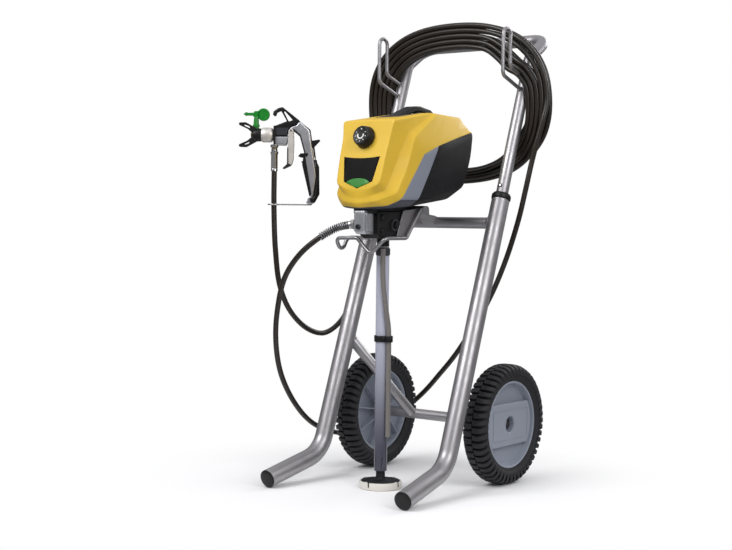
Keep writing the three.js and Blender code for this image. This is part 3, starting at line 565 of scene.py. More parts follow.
def add_rails():
    for name, side in SIDES:
        foot = Vector((side * FOOT.x, FOOT.y, FOOT.z))
        bend = Vector((side * RAIL_X, 0, BEND_Z))
        in_foot = (bend - foot).normalized()
        line = rounded_line([foot + in_foot * 4.3, bend, rail_point(side, RAIL_TOP_Z)], 70, 16)
        tube(f"{name}_rail_tube", line, RAIL_RADIUS, silver, f"{name}_rail", sides=48, rounded=0.8)
        lathe(f"{name}_foot_plug", [(0, 0), (13, 0.15), (17, 0.8), (18.6, 2), (19, 3.4), (18.6, 4),
                                    (15.8, 4), (15.8, 14), (0, 14)], placed(foot, in_foot), black,
              f"{name}_foot_cap")
        top = rail_point(side, RAIL_TOP_Z) + RAIL_UP * 0.3
        lathe(f"{name}_collar_ring", [(13.3, -24), (16.2, -24), (16.2, 0), (19.8, 0), (20.5, 1), (20.5, 8),
                                      (19.6, 10), (18.4, 10.4), (17.6, 13), (14, 13.4), (13.3, 13),
                                      (13.3, -24)], placed(top, RAIL_UP), black, f"{name}_collar")
        button = rail_point(side, RAIL_TOP_Z + 26)
        lathe(f"{name}_button_dome", [(0, 8), (5, 8), (5, 9.5), (3.6, 9.5), (3.6, 14.8), (3.2, 15.8),
                                      (2, 16.2), (0, 16.3)], placed(button, RAIL_FRONT), steel,
              f"{name}_snap_button", body=f"{name}_button", segments=24)
        lathe(f"{name}_button_hole", [(3.9, 12.4), (4.6, 12.5), (4.7, 13.15), (4.2, 13.3), (3.9, 12.9),
                                      (3.9, 12.4)], placed(button, RAIL_FRONT), dark_steel, segments=24)
        bar_axis = Vector((0, rail_point(1, CROSSBAR_Z).y, CROSSBAR_Z))
        weld(f"{name}_crossbar_weld", bar_axis, (side, 0, 0), 12.4, rail_point(side, CROSSBAR_Z), RAIL_UP,
             RAIL_RADIUS)


def add_handle():
    corners = [rail_point(1, 577), rail_point(1, HANDLE_BEND_Z), (RAIL_X, GRIP_Y, GRIP_Z),
               (-RAIL_X, GRIP_Y, GRIP_Z), rail_point(-1, HANDLE_BEND_Z), rail_point(-1, 577)]
    tube("handle_bar", rounded_line(corners, 34, 12), HANDLE_RADIUS, silver, "handle_tube", sides=40)


def add_hooks():
    for name, side in SIDES:
        x = side * RAIL_X

        def to_tube(y, z):
            distance = (Vector((x, y, z)) - rail_point(side, z)).dot(RAIL_FRONT)
            return Vector((x, y, z)) - RAIL_FRONT * (distance - HANDLE_RADIUS + 0.8)

        corners = [to_tube(*HOOK_FRONT), (x, *HOOK_FRONT), (x, HOOK_FRONT[0], HOOK_TOP),
                   (x, HOOK_REAR[0], HOOK_TOP), (x, *HOOK_REAR), to_tube(*HOOK_REAR)]
        tube(f"{name}_hook_wire", rounded_line(corners, 13.5, 10), WIRE_RADIUS, silver, f"{name}_hose_hook",
             sides=20)
        for place_name, corner in (("low", HOOK_FRONT), ("high", HOOK_REAR)):
            weld(f"{name}_hook_weld_{place_name}", Vector((x, *corner)), -RAIL_FRONT, WIRE_RADIUS + 0.3,
                 rail_point(side, corner[1]), RAIL_UP, HANDLE_RADIUS)


def add_lower_bars():
    y = rail_point(1, CROSSBAR_Z).y
    tube("crossbar_tube", [(-143.4, y, CROSSBAR_Z), (143.4, y, CROSSBAR_Z)], 12, silver, "crossbar",
         sides=40)
    axle_place = placed((0, WHEEL.y, WHEEL.z), (1, 0, 0))
    lathe("axle_bar", [(0, -135), (10.4, -135), (11, -134.4), (11, 134.4), (10.4, 135), (0, 135)],
          axle_place, silver, "axle", segments=40)
    # Painted shade: the axle's ends are dark steel, not the axle's silver, so each wheel's bore reads as a
    # shadowed hole.
    lathe("axle_stubs_painted_shade", [(0, -179), (5.2, -179), (6.2, -178), (6.2, 178), (5.2, 179), (0, 179)], axle_place,
          dark_steel, segments=32)
    for name, side in SIDES:
        top, low = rail_point(side, 306), Vector((side * 67.6, 198, 133))
        along = (low - top).normalized()
        tube(f"{name}_strut_tube", [top + along * 19.6, low + along * 7], 11.2, silver, f"{name}_strut",
             rounded=1.0)
        weld(f"{name}_strut_weld", top + along * 60, -along, 10.9, top, RAIL_UP, RAIL_RADIUS)


# ------------------------------------------------------------------ wheels
def tread_block(angle, side, width):
    """One curved lug of the tyre's tread, from the crown over the shoulder."""
    path = [(0.8, 120.4, 127.0), (8, 120.0, 127.0), (16, 118.0, 126.0), (22.5, 113.6, 122.6),
            (27, 108.4, 116.4), (27.4, 104.5, 108.4)]
    vertices = []
    for step, (across, low, high) in enumerate(path):
        skew = 0.03 * math.sin(step / (len(path) - 1) * math.pi) - 0.010 * step
        half = width * (1 - 0.06 * step)
        for radius, share in ((low - 1.5, 1.0), (high, 0.88)):
            for edge in (-1, 1):
                a = angle + skew + edge * half * share
                vertices.append(Vector((radius * math.cos(a), radius * math.sin(a), side * across)))
    faces = [(0, 1, 3, 2)]
    for step in range(len(path) - 1):
        s = step * 4
        faces += [(s + 2, s + 3, s + 7, s + 6), (s, s + 2, s + 6, s + 4), (s + 3, s + 1, s + 5, s + 7),
                  (s + 1, s, s + 4, s + 5)]
    last = (len(path) - 1) * 4
    faces.append((last, last + 2, last + 3, last + 1))
    return vertices, faces


def add_wheel(name, side):
    centre = Vector((side * WHEEL.x, WHEEL.y, WHEEL.z))
    matrix = Matrix.Translation(centre) @ Matrix(((0, 0, side, 0), (side, 0, 0, 0), (0, 1, 0, 0),
                                                  (0, 0, 0, 1)))
    body = f"{name}_wheel"
    half = [(92.4, 19.4), (94.5, 20.6), (97, 21), (99, 22.8), (103, 25.8), (107.5, 26.4), (112, 24),
            (115.6, 19.8), (118.4, 13), (119.8, 6), (120, 0)]
    profile = half + [(radius, -height) for radius, height in reversed(half[:-1])]
    profile.append(profile[0])
    lathe(f"{name}_tyre_carcass", profile, matrix, tyre, f"{name}_tyre", body=body, segments=96, sharp=40)
    count = 50
    half_width = 0.051  # of a lug, in radians
    blocks = []
    for k in range(count):
        blocks.append(tread_block(TAU * k / count, 1, half_width))
        blocks.append(tread_block(TAU * (k + 0.5) / count, -1, half_width))
    vertices, faces = [], []
    for block_vertices, block_faces in blocks:
        start = len(vertices)
        vertices += block_vertices
        faces += [tuple(i + start for i in face) for face in block_faces]
    lugs = make_mesh(f"{name}_tyre_lugs", vertices, faces, tyre, body=body, matrix=matrix, sharp=30)
    bevel(lugs, 1.0, 2, 35)

    bore = 6.5
    rim = [(bore, -28), (15, -28), (16.5, -27), (17.5, -24), (19.4, -3), (24, -1), (60, -0.6), (78, -1),
           (82, -3), (84.8, -14), (86.6, -16), (91.2, -16), (91.9, -15.3), (91.9, 19), (91.2, 19.7),
           (88.4, 19.7), (87.6, 19), (86.6, 15), (85.4, 8), (83.4, 4.6), (79, 3), (70, 2.4), (56, 2),
           (36, 1.8), (bore, 1.8), (bore, -28)]
    lathe(f"{name}_rim_dish", rim, matrix, rim_grey, f"{name}_rim", body=body, segments=96, sharp=28)
    reach, top = 83.6, 45
    corner = math.asin(top / reach)
    arc = [(reach * math.cos(a), reach * math.sin(a)) for a in
           [corner - 2 * corner * i / 24 for i in range(25)]]
    outline = arc + [(-x, -y) for x, y in arc]
    hole = [(16.5 * math.cos(TAU * k / 40), 16.5 * math.sin(TAU * k / 40)) for k in range(40)]
    plate(f"{name}_rim_band", [outline, hole], 15.4, 3.2, matrix, rim_grey, body=body, sharp=30, middle=8.3)
    panel = round_outline([(-68, -32), (68, -32), (68, 32), (-68, 32)], 7)
    inner = round_outline([(-66.4, -30.4), (66.4, -30.4), (66.4, 30.4), (-66.4, 30.4)], 6)
    plate(f"{name}_rim_panel_edge", [panel, inner], 1.6, 0.5, matrix, rim_grey, body=body, sharp=30,
          middle=16.2)
    for k in range(10):
        rib = [(18.5, -3), (18.5, -26), (40, -20), (80, -16), (84.5, -16), (84.5, -3)]
        about = Matrix.Rotation(math.pi * k / 5 + 0.16, 4, "Z")
        turned = matrix @ about @ Matrix.Rotation(math.pi / 2, 4, "X")
        plate(f"{name}_rim_rib_{k}", [rib], 2.2, 0.5, turned, rim_grey, body=body, sharp=30)
    # The clip is a real part; its dark steel colour is painted shade, so the bore round the axle's end reads
    # as a shadowed hole.
    lathe(f"{name}_clip_ring_painted_shade", [(6.5, 4.8), (11.4, 4.8), (12, 5.2), (12, 6.2), (11.4, 6.6), (6.5, 6.6),
                                (6.5, 4.8)], matrix, dark_steel, f"{name}_axle_clip", segments=36)


add_rails()
add_handle()
add_hooks()
add_lower_bars()
for side_name, side_sign in SIDES:
    add_wheel(side_name, side_sign)


# ------------------------------------------------------------------ sprayer housing
# Half outlines of the body, front to rear, as in part.mjs. Each runs from the roof's middle to the bottom's.
HOUSING = [
    [(0, -53, 757), (66, -53, 757), (60, -61, 722), (58, -76, 675),
     (55, -88, 627), (30, -90, 617), (0, -90, 608)],
    [(0, 80, 779), (60, 88, 779), (67, -8, 733), (62, -45, 664),
     (58, -70, 615), (30, -86, 603), (0, -90, 596)],
    [(0, 95, 780), (64, 100, 778), (81, -6, 722), (80, -25, 666),
     (77, -60, 608), (40, -84, 592), (0, -92, 587)],
    [(0, 120, 779), (65, 120, 777), (82, 28, 700), (82, 5, 650),
     (80, -48, 594), (60, -62, 579), (0, -86, 575)],
    [(0, 186, 776), (65, 186, 775), (82, 110, 705), (82, 100, 650),
     (80, 60, 602), (64, 14, 584), (0, -20, 575)],
    [(0, 202, 752), (64, 203, 751), (80, 212, 745.6), (80, 204, 690),
     (78, 180, 628), (64, 136, 599), (0, 136, 599)],
]
CORNER_REACH = [40, 9, 14, 20, 10, 10, 14]  # how far each corner of an outline is rounded off
RIDGE_REACH = [3, 2.2, 3, 14, 4, 4]  # how far each outline's own ridge is rounded off
ROUND_STEPS = 4
YELLOW = [(-200, 560), (-200, 900), (320, 900), (320, 770), (212, 745), (81, 709.5), (28, 690), (-41, 603),
          (-52, 593), (-64, 584), (-95, 577.5)]
SKIRT_SLOPE = 0.613  # how the skirt's rear edge slants forward as it goes down
GREY = [(81, 709.5), (28, 690), (-41, 603), (-52, 593), (-46, 596), (12, 597)]
FACE_LINE = [(757, -53), (722, -61), (675, -76), (627, -88), (617, -90), (608, -90)]


def face_y(z):
    """How far forward the flat front face lies at a height."""
    for (z0, y0), (z1, y1) in zip(FACE_LINE, FACE_LINE[1:]):
        if z >= z1:
            return y0 + (y1 - y0) * (z0 - z) / (z0 - z1)
    return FACE_LINE[-1][1]


def eased(points, reaches, closed):
    """A line with every corner rounded into the same number of points."""
    result = []
    count = len(points)
    for i, here in enumerate(points):
        if not closed and i in (0, count - 1):
            result.append(here)
            continue
        before, after = points[i - 1], points[(i + 1) % count]
        back, on = before - here, after - here
        start = here + back.normalized() * min(reaches[i], back.length * 0.46)
        end = here + on.normalized() * min(reaches[i], on.length * 0.46)
        for step in range(ROUND_STEPS + 1):
            t = step / ROUND_STEPS
            result.append(start * (1 - t) ** 2 + here * 2 * t * (1 - t) + end * t * t)
    return result


def housing_rings():
    rings = []
    for half in HOUSING:
        other = [(-x, y, z) for x, y, z in half[-2:0:-1]]
        reaches = CORNER_REACH + CORNER_REACH[-2:0:-1]
        rings.append(eased([Vector(p) for p in (*half, *other)], reaches, True))
    first = [Vector((p.x * 0.93, face_y(682 + (p.z - 682) * 0.95),
                     682 + (p.z - 682) * 0.95)) for p in rings[0]]
    middle = Vector((0, 170, 675))
    last = [middle + (p - middle) * 0.92 for p in rings[-1]]
    lines = [eased(list(across), [0, *RIDGE_REACH, 0], False) for across in zip(first, *rings, last)]
    return [list(ring) for ring in zip(*lines)]


def cap_faces(ring, start):
    """Strips from side to side that close a ring, from its top to its bottom."""
    count = len(ring)
    half = [ROUND_STEPS // 2 + k for k in range(count // 2 + 1)]
    other = [(ROUND_STEPS - m) % count for m in half]
    level = [ring[m].z for m in half]
    top = max(k for k in range(len(half)) if abs(level[k] - level[0]) < 0.4)
    low = min(k for k in range(len(half)) if abs(level[k] - level[-1]) < 0.4)
    faces = []
    for k in range(top, low):
        upper = [*other[k:0:-1], *half[:k + 1]] if k == top else [other[k], half[k]]
        under = [*other[k + 1:], *half[-2:k:-1]] if k == low - 1 else [other[k + 1], half[k + 1]]
        faces.append([start + m for m in dict.fromkeys([*upper, *reversed(under)])])
    return faces


def inside(outline, a, b):
    hit = False
    for (a0, b0), (a1, b1) in zip(outline, outline[1:] + outline[:1]):
        if (b0 > b) != (b1 > b) and a < a0 + (a1 - a0) * (b - b0) / (b1 - b0):
            hit = not hit
    return hit


def housing_kind(centre):
    x, y, z = centre
    if z > 762 and abs(x) < 30 and 8 < y < 162:
        return None
    if inside(YELLOW, y, z):
        return "front_cover"
    if inside(GREY, y, z) and abs(x) > 58:
        return "left_side_panel" if x < 0 else "right_side_panel"
    if z < 597 and y < 12 + (z - 597) * SKIRT_SLOPE:
        return "skirt"
    return "rear_cover"


def add_housing():
    rings = housing_rings()
    count = len(rings[0])
    shell = bmesh.new()
    corners = [shell.verts.new(p) for ring in rings for p in ring]
    faces = []
    for r in range(len(rings) - 1):
        for i in range(count):
            a, b = r * count + i, r * count + (i + 1) % count
            faces.append((a, a + count, b + count, b))
    faces += cap_faces(rings[0], 0)
    faces += [face[::-1] for face in cap_faces(rings[-1], (len(rings) - 1) * count)]
    for face in faces:
        shell.faces.new([corners[i] for i in face])
    bmesh.ops.remove_doubles(shell, verts=shell.verts, dist=0.01)
    bmesh.ops.recalc_face_normals(shell, faces=shell.faces)
    seams = []
    for outline in (YELLOW[4:], GREY):
        for (y0, z0), (y1, z1) in zip(outline, outline[1:] + outline[:1]):
            seams.append((Vector((0, y0, z0)), Vector((0, z1 - z0, y0 - y1))))
    seams += [(Vector((x, 0, 0)), Vector((1, 0, 0))) for x in (-58, -30, 30, 58)]
    seams += [(Vector((0, y, 0)), Vector((0, 1, 0))) for y in (8, 162)]
    for at, square in seams:
        bmesh.ops.bisect_plane(shell, geom=[*shell.verts, *shell.edges, *shell.faces], plane_co=at,
                               plane_no=square.normalized(), dist=0.05)
    bmesh.ops.remove_doubles(shell, verts=shell.verts, dist=0.4)
    bmesh.ops.dissolve_degenerate(shell, edges=shell.edges, dist=0.01)
    groups = {}
    for face in shell.faces:
        groups.setdefault(housing_kind(face.calc_center_median()), []).append(face)
    looks = {"front_cover": yellow, "left_side_panel": side_grey, "right_side_panel": side_grey,
             "rear_cover": charcoal, "skirt": skirt_grey}
    for node, material in looks.items():
        used = {}
        panel = [[used.setdefault(v, len(used)) for v in face.verts] for face in groups[node]]
        mesh = bpy.data.meshes.new(node + "_shell")
        mesh.from_pydata([v.co * MM for v in used], [], panel)
        stands_for = () if node == "skirt" else node
        piece = finish_piece(node + "_shell", mesh, material, stands_for, sharp=50)
        wall = piece.modifiers.new("wall", "SOLIDIFY")
        wall.thickness, wall.offset = 3 * MM, -1
        bevel(piece, 0.8, 2, 55)
    shell.free()


def on_face(name, outline, lift, thick, material):
    """A thin label lying on the front face, from an outline of [x, z] points."""
    work = bmesh.new()
    work.faces.new([work.verts.new((x, 0, z)) for x, z in outline])
    lines = [((0, 0, z), (0, 0, 1)) for z in range(610, 690, 4)]
    lines += [((x, 0, 0), (1, 0, 0)) for x in range(-45, 46, 9)]
    for at, square in lines:
        bmesh.ops.bisect_plane(work, geom=[*work.verts, *work.edges, *work.faces], plane_co=at,
                               plane_no=square, dist=0.01)
    front = bpy.data.objects["front_cover_shell"]
    for v in work.verts:
        hit, at, _, _ = front.ray_cast(Vector((v.co.x, -300, v.co.z)) * MM, Vector((0, 1, 0)))
        v.co.y = (at.y / MM if hit else face_y(v.co.z)) - lift
    mesh = bpy.data.meshes.new(name)
    work.to_mesh(mesh)
    work.free()
    mesh.transform(Matrix.Scale(MM, 4))
    mesh.update()
    if mesh.polygons[0].normal.y > 0:
        mesh.flip_normals()
    piece = finish_piece(name, mesh, material)
    film = piece.modifiers.new("film", "SOLIDIFY")
    film.thickness, film.offset = thick * MM, 1
    return piece


def arc(radius, start, end, steps, centre=(0, 0)):
    return [(centre[0] + radius * math.cos(math.radians(start + (end - start) * i / steps)),
             centre[1] + radius * math.sin(math.radians(start + (end - start) * i / steps)))
            for i in range(steps + 1)]


def add_front_label():
    top = [(-45.5 + 91 * i / 10, 682.5 - 3.2 * (1 - (2 * i / 10 - 1) ** 2)) for i in range(11)]
    shield = [*top, (36, 632), (0, 618), (-36, 632)]
    on_face("front_label", shield, 0.05, 0.35, label_black)
    dome = [(29 * math.cos(math.radians(a)), 629 + 9.5 * math.sin(math.radians(a)))
            for a in range(0, 181, 10)]
    on_face("front_label_accent", [*dome, (0, 618.6)], 0.5, 0.2, label_green)


def add_knob():
    matrix = placed(KNOB_BASE, KNOB_AXIS)
    ring = [(-9, 6), (0.8, 6), (0.8, 23), (2.6, 23.2), (4.2, 22.8), (16.6, 19.7), (18, 18.8), (18.5, 17.4),
            (18.3, 16.8), (18.1, 0)]
    lathe("pressure_knob_body", [(0, -9)] + [(r, h) for h, r in ring], matrix, black, "pressure_knob",
          body="knob", segments=64)
    face = matrix @ Matrix.Translation((0, 0, 18.25))
    band = arc(8.4, 160, 380, 28) + arc(5.6, 380, 160, 28)
    plate("knob_print_arc", [band], 0.3, 0.05, face, print_white, body="knob")
    for k in range(7):
        ray = Matrix.Rotation(math.radians(150 + 40 * k), 4, "Z")
        plate(f"knob_print_tick_{k}", [[(11, -0.55), (14, -0.55), (14, 0.55), (11, 0.55)]], 0.3, 0.05,
              face @ ray, print_white, body="knob")
    plate("knob_print_dot", [arc(1.5, 0, 342, 19, (0, 13))], 0.3, 0.05, face, print_white, body="knob")


def add_top_handle():
    level = [(8.4, 748), (8.4, 767.6), (80, 779.8), (120, 779.8), (161.6, 778), (161.6, 748)]
    for name, side in SIDES:
        plate(f"top_tray_wall_{name}", [round_outline(level, 1)], 3, 0.6, ALONG_X, dark_trim,
              middle=side * 28.1)
    for name, low, high, y in (("front", 748, 767.4, 10), ("rear", 748, 778, 160)):
        end = [(-27.5, low), (27.5, low), (27.5, high), (-27.5, high)]
        plate(f"top_tray_end_{name}", [end], 3, 0.6, Matrix.Translation((0, y, 0)) @ ALONG_Y, dark_trim)
    plate("top_tray_floor", [[(-27.5, 9), (27.5, 9), (27.5, 161), (-27.5, 161)]], 3, 0.4, Matrix(), black,
          middle=749.7)
    bar = [(28, 766), (28, 772), (92, 794.6), (108, 795.4), (146, 790), (161.5, 781), (161.5, 770),
           (148, 770), (140, 778), (108, 783), (92, 782), (64, 774), (50, 766)]
    plate("top_handle_bar", [round_outline(bar, 5)], 30, 3.2, ALONG_X, black, "top_handle")
    lid = [(8.4, 764), (8.4, 767.8), (50, 775), (50, 771.4)]
    plate("top_tray_lid", [lid], 59, 0.6, ALONG_X, dark_trim)


# ------------------------------------------------------------------ pump, bracket and suction set
def add_pump():
    body = [(-50, 526), (-50, 574), (44, 574), (44, 532), (30, 517), (-36, 517)]
    plate("pump_body_block", [round_outline(body, 7)], 50, 3, ALONG_X, black, "pump_body")
    plate("pump_neck", [round_outline([(-72, 568), (-72, 586), (44, 584), (44, 568)], 2)], 44, 1, ALONG_X,
          black)
    lathe("pump_body_nose", [(0, 500), (11.6, 500), (13, 501.4), (13, 507), (12, 508), (13, 509), (13, 520),
                             (0, 520)], Matrix(), black)
    for k, (y, z, radius, out) in enumerate([(-36, 560, 6.5, 3), (32, 560, 6.5, 3), (-36, 533, 5, 2.5)]):
        boss = [(0, 22), (radius + 1.5, 22), (radius, 25 + out), (radius - 2, 25 + out),
                (radius - 2.6, 24 + out), (0, 24 + out)]
        lathe(f"pump_boss_{k}", boss, placed((0, y, z), (1, 0, 0)), black, segments=36)
        lathe(f"pump_screw_{k}", [(0, 24), (radius - 3, 24), (radius - 3, 24.6 + out), (0, 25.4 + out)],
              placed((0, y, z), (1, 0, 0)), dark_steel, segments=6)
    lathe("pump_shoulder_ring", [(9, 25), (12.5, 25), (13, 26), (12, 29), (9, 29.3), (9, 25)],
          placed((0, 4, 545), (1, 0, 0)), dark_trim, segments=40)
    manifold = [(-84, 533), (-84, 574), (-50.3, 574), (-50.3, 526), (-76, 526)]
    plate("pump_block_body", [round_outline(manifold, 3.5)], 26, 2.2, ALONG_X, cast, "pump_block", middle=1)
    plate("pump_block_plate", [round_outline([(-79, 537), (-79, 569), (-56, 569), (-56, 532), (-74, 532)],
                                             3)], 2.4, 0.6, ALONG_X, cast, middle=15)
    plate("pump_block_port", [round_outline([(-9, 531), (11, 531), (11, 570), (-9, 570)], 3)], 2, 0.6,
          Matrix.Translation((0, -84.6, 0)) @ ALONG_Y, cast)
    lathe("pump_block_plug", [(0, 0), (6, 0), (6, 3.2), (5, 4), (3, 4), (3, 2.4), (0, 2.4)],
          placed((1, -85, 541), (0, -1, 0)), dark_steel, segments=6)
    pusher = [(0, -6), (5, -6), (5, 3), (7, 3), (7.4, 3.6), (7.4, 7.6), (6.6, 9), (4, 9.2), (3.4, 8.4),
              (0, 8.2)]
    lathe("inlet_pusher_cap", pusher, placed((25, 4, 545), (1, 0, 0)), black, "inlet_pusher", body="pusher",
          segments=32)
    fitting = placed(FITTING_BASE, FITTING_AXIS)
    lathe("outlet_fitting_hex", [(0, 3.8), (9.4, 3.8), (10.2, 4.6), (10.2, 11), (9.4, 12), (0, 12)],
          fitting, steel, "outlet_fitting", segments=6, sharp=25)
    lathe("outlet_fitting_neck", [(0, 3.6), (8, 3.6), (8, 16.4), (7.4, FITTING_END), (0, FITTING_END)],
          fitting, steel, segments=32)
    nut = [(0, 482), (13.8, 482), (14.6, 483), (14.6, 489), (14.1, 489.6), (14.6, 490.2), (14.6, 496.4),
           (12.6, 499.3), (0, 499.5)]
    lathe("suction_nut_body", nut, Matrix(), dark_trim, "suction_nut", segments=40)
    for k in range(14):
        turned = Matrix.Rotation(TAU * k / 14, 4, "Z")
        plate(f"suction_nut_rib_{k}", [[(13.9, 484), (15.1, 484.6), (15.1, 494.8), (13.9, 495.6)]], 1.8,
              0.3, turned @ ALONG_Y, dark_trim)


def add_suction_set():
    wall = [(11, 36), (13, 36), (13.4, 36.4), (13.4, 481.2), (13, 481.6), (11, 481.6), (11, 36)]
    lathe("suction_tube_wall", wall, Matrix(), clear, "suction_tube", segments=40)
    dish = [(0, 0), (41, 0), (43.4, 0.8), (44, 2.4), (44, 14.6), (43.4, 15.6), (41.6, 15.6), (41, 14.8),
            (41, 12), (0, 12)]
    lathe("strainer_ring", dish, Matrix(), strainer_pale, "strainer", segments=72)
    cap = [(40.6, 11), (40.6, 14.6), (39.4, 16), (34, 17), (13, 17.8), (11.4, 18.8), (10.6, 21), (9.5, 24),
           (9.5, 60), (0, 60), (0, 11), (40.6, 11)]
    lathe("strainer_cap", cap, Matrix(), charcoal, segments=72)
    for k in range(4):
        turned = Matrix.Rotation(math.radians(-96) + TAU * k / 4, 4, "Z")
        plate(f"strainer_tab_{k}", [round_outline([(42, 4), (44.5, 4), (44.5, 17), (42, 17)], 0.6)], 6, 0.5,
              turned @ ALONG_Y, strainer_pale)
        plate(f"strainer_notch_{k}", [round_outline([(40.4, 6), (44.3, 6), (44.3, 15.9), (40.4, 15.9)],
                                                    0.6)], 3.4, 0.3,
              turned @ Matrix.Rotation(0.16, 4, "Z") @ ALONG_Y, charcoal)
    reach = 13.4 + 5.2 + 0.6

    def around(degrees, z):
        angle = math.radians(degrees)
        return (reach * math.cos(angle), reach * math.sin(angle), z)

    drop = centripetal([around(-52, 496), around(-52, 440), around(-40, 395), around(-22, 358),
                        around(-9, 332), around(-6, 312), around(-6, 240), around(-6, 108)], 5)
    outer, inner = sweep(drop, 5.2, 24, caps=False), sweep(drop, 3.8, 24, caps=False)
    total = len(drop) * 24
    vertices = outer[0] + inner[0]
    faces = outer[1] + [tuple(i + total for i in face[::-1]) for face in inner[1]]
    for k in range(24):
        n, top = (k + 1) % 24, total - 24
        faces += [(k, total + k, total + n, n), (top + n, total + top + n, total + top + k, top + k)]
    make_mesh("return_tube_wall", vertices, faces, return_grey, "return_tube")
    small = around(-6, 0)
    for name, centre, radius in (("large", (0, 0), 13.6), ("small", small[:2], 5.8)):
        rim = [(radius, 304), (radius + 2.2, 304), (radius + 2.6, 304.6), (radius + 2.6, 316.4),
               (radius + 2.2, 317), (radius, 317), (radius, 304)]
        lathe(f"tube_clip_{name}", rim, Matrix.Translation((*centre, 0)), black,
              "tube_clip" if name == "large" else (), segments=40)


def add_bracket():
    flange = [(8, 521), (46, 519), (106, 582), (30, 575)]
    for name, side in SIDES:
        plate(f"{name}_bracket_flange", [round_outline(flange, 4)], 3, 0.6, ALONG_X, silver,
              middle=side * 27.8)
    web = [(44.5, 521), (47.5, 519), (108, 582), (108, 586), (104, 586)]
    plate("bracket_web", [web], 58.6, 0.6, ALONG_X, silver, "mount_bracket")
    neck = [(98, 578), (104, 586), (138, 586), (143, 581), (144, 568), (164, 566),
            *arc(12.4, 100, 205, 10, (176.4, 551)), (150, 560)]
    plate("bracket_neck", [neck], 30, 0.6, ALONG_X, silver)


def add_pail_hook():
    beside = 33.7
    corners = [(beside, 84, 579), (beside, 35, 518), (36, -42, 518), (0, -42, 485), (-36, -42, 518),
               (-91, -42, 517), (-91, -23, 484), (-91, -3, 518), (-beside, 32, 518), (-beside, 84, 579)]
    tube("pail_hook_wire", rounded_line(corners, 12, 10), WIRE_RADIUS, silver, "pail_hook", sides=20,
         rounded=0.8)


def add_gland():
    ridges = [(11 - 0.21 * (h - 1) + (0.5 if k % 2 else -0.5), h) for k, h in enumerate(range(3, 25, 2))]
    profile = [(3.5, -6), (7.4, -6), (7.4, 1), (11, 1), (11, 2), *ridges, (6, 26), (3.5, 26), (3.5, -6)]
    lathe("cord_gland_sleeve", profile, placed(GLAND_BASE, GLAND_AXIS), black, "cord_gland", segments=36)


# ------------------------------------------------------------------ spray gun
GUN_PLANE = GUN_M @ ALONG_Y


def gun_plate(name, outline, thick, edge, material, nodes=(), body="gun", middle=0.0, corner=2.0,
              holes=()):
    """A flat piece of the gun, from an outline in the gun's own X and Z."""
    outlines = [round_outline(o, corner) for o in (outline, *holes)]
    return plate(name, outlines, thick, edge, GUN_PLANE, material, nodes, body, middle=middle)


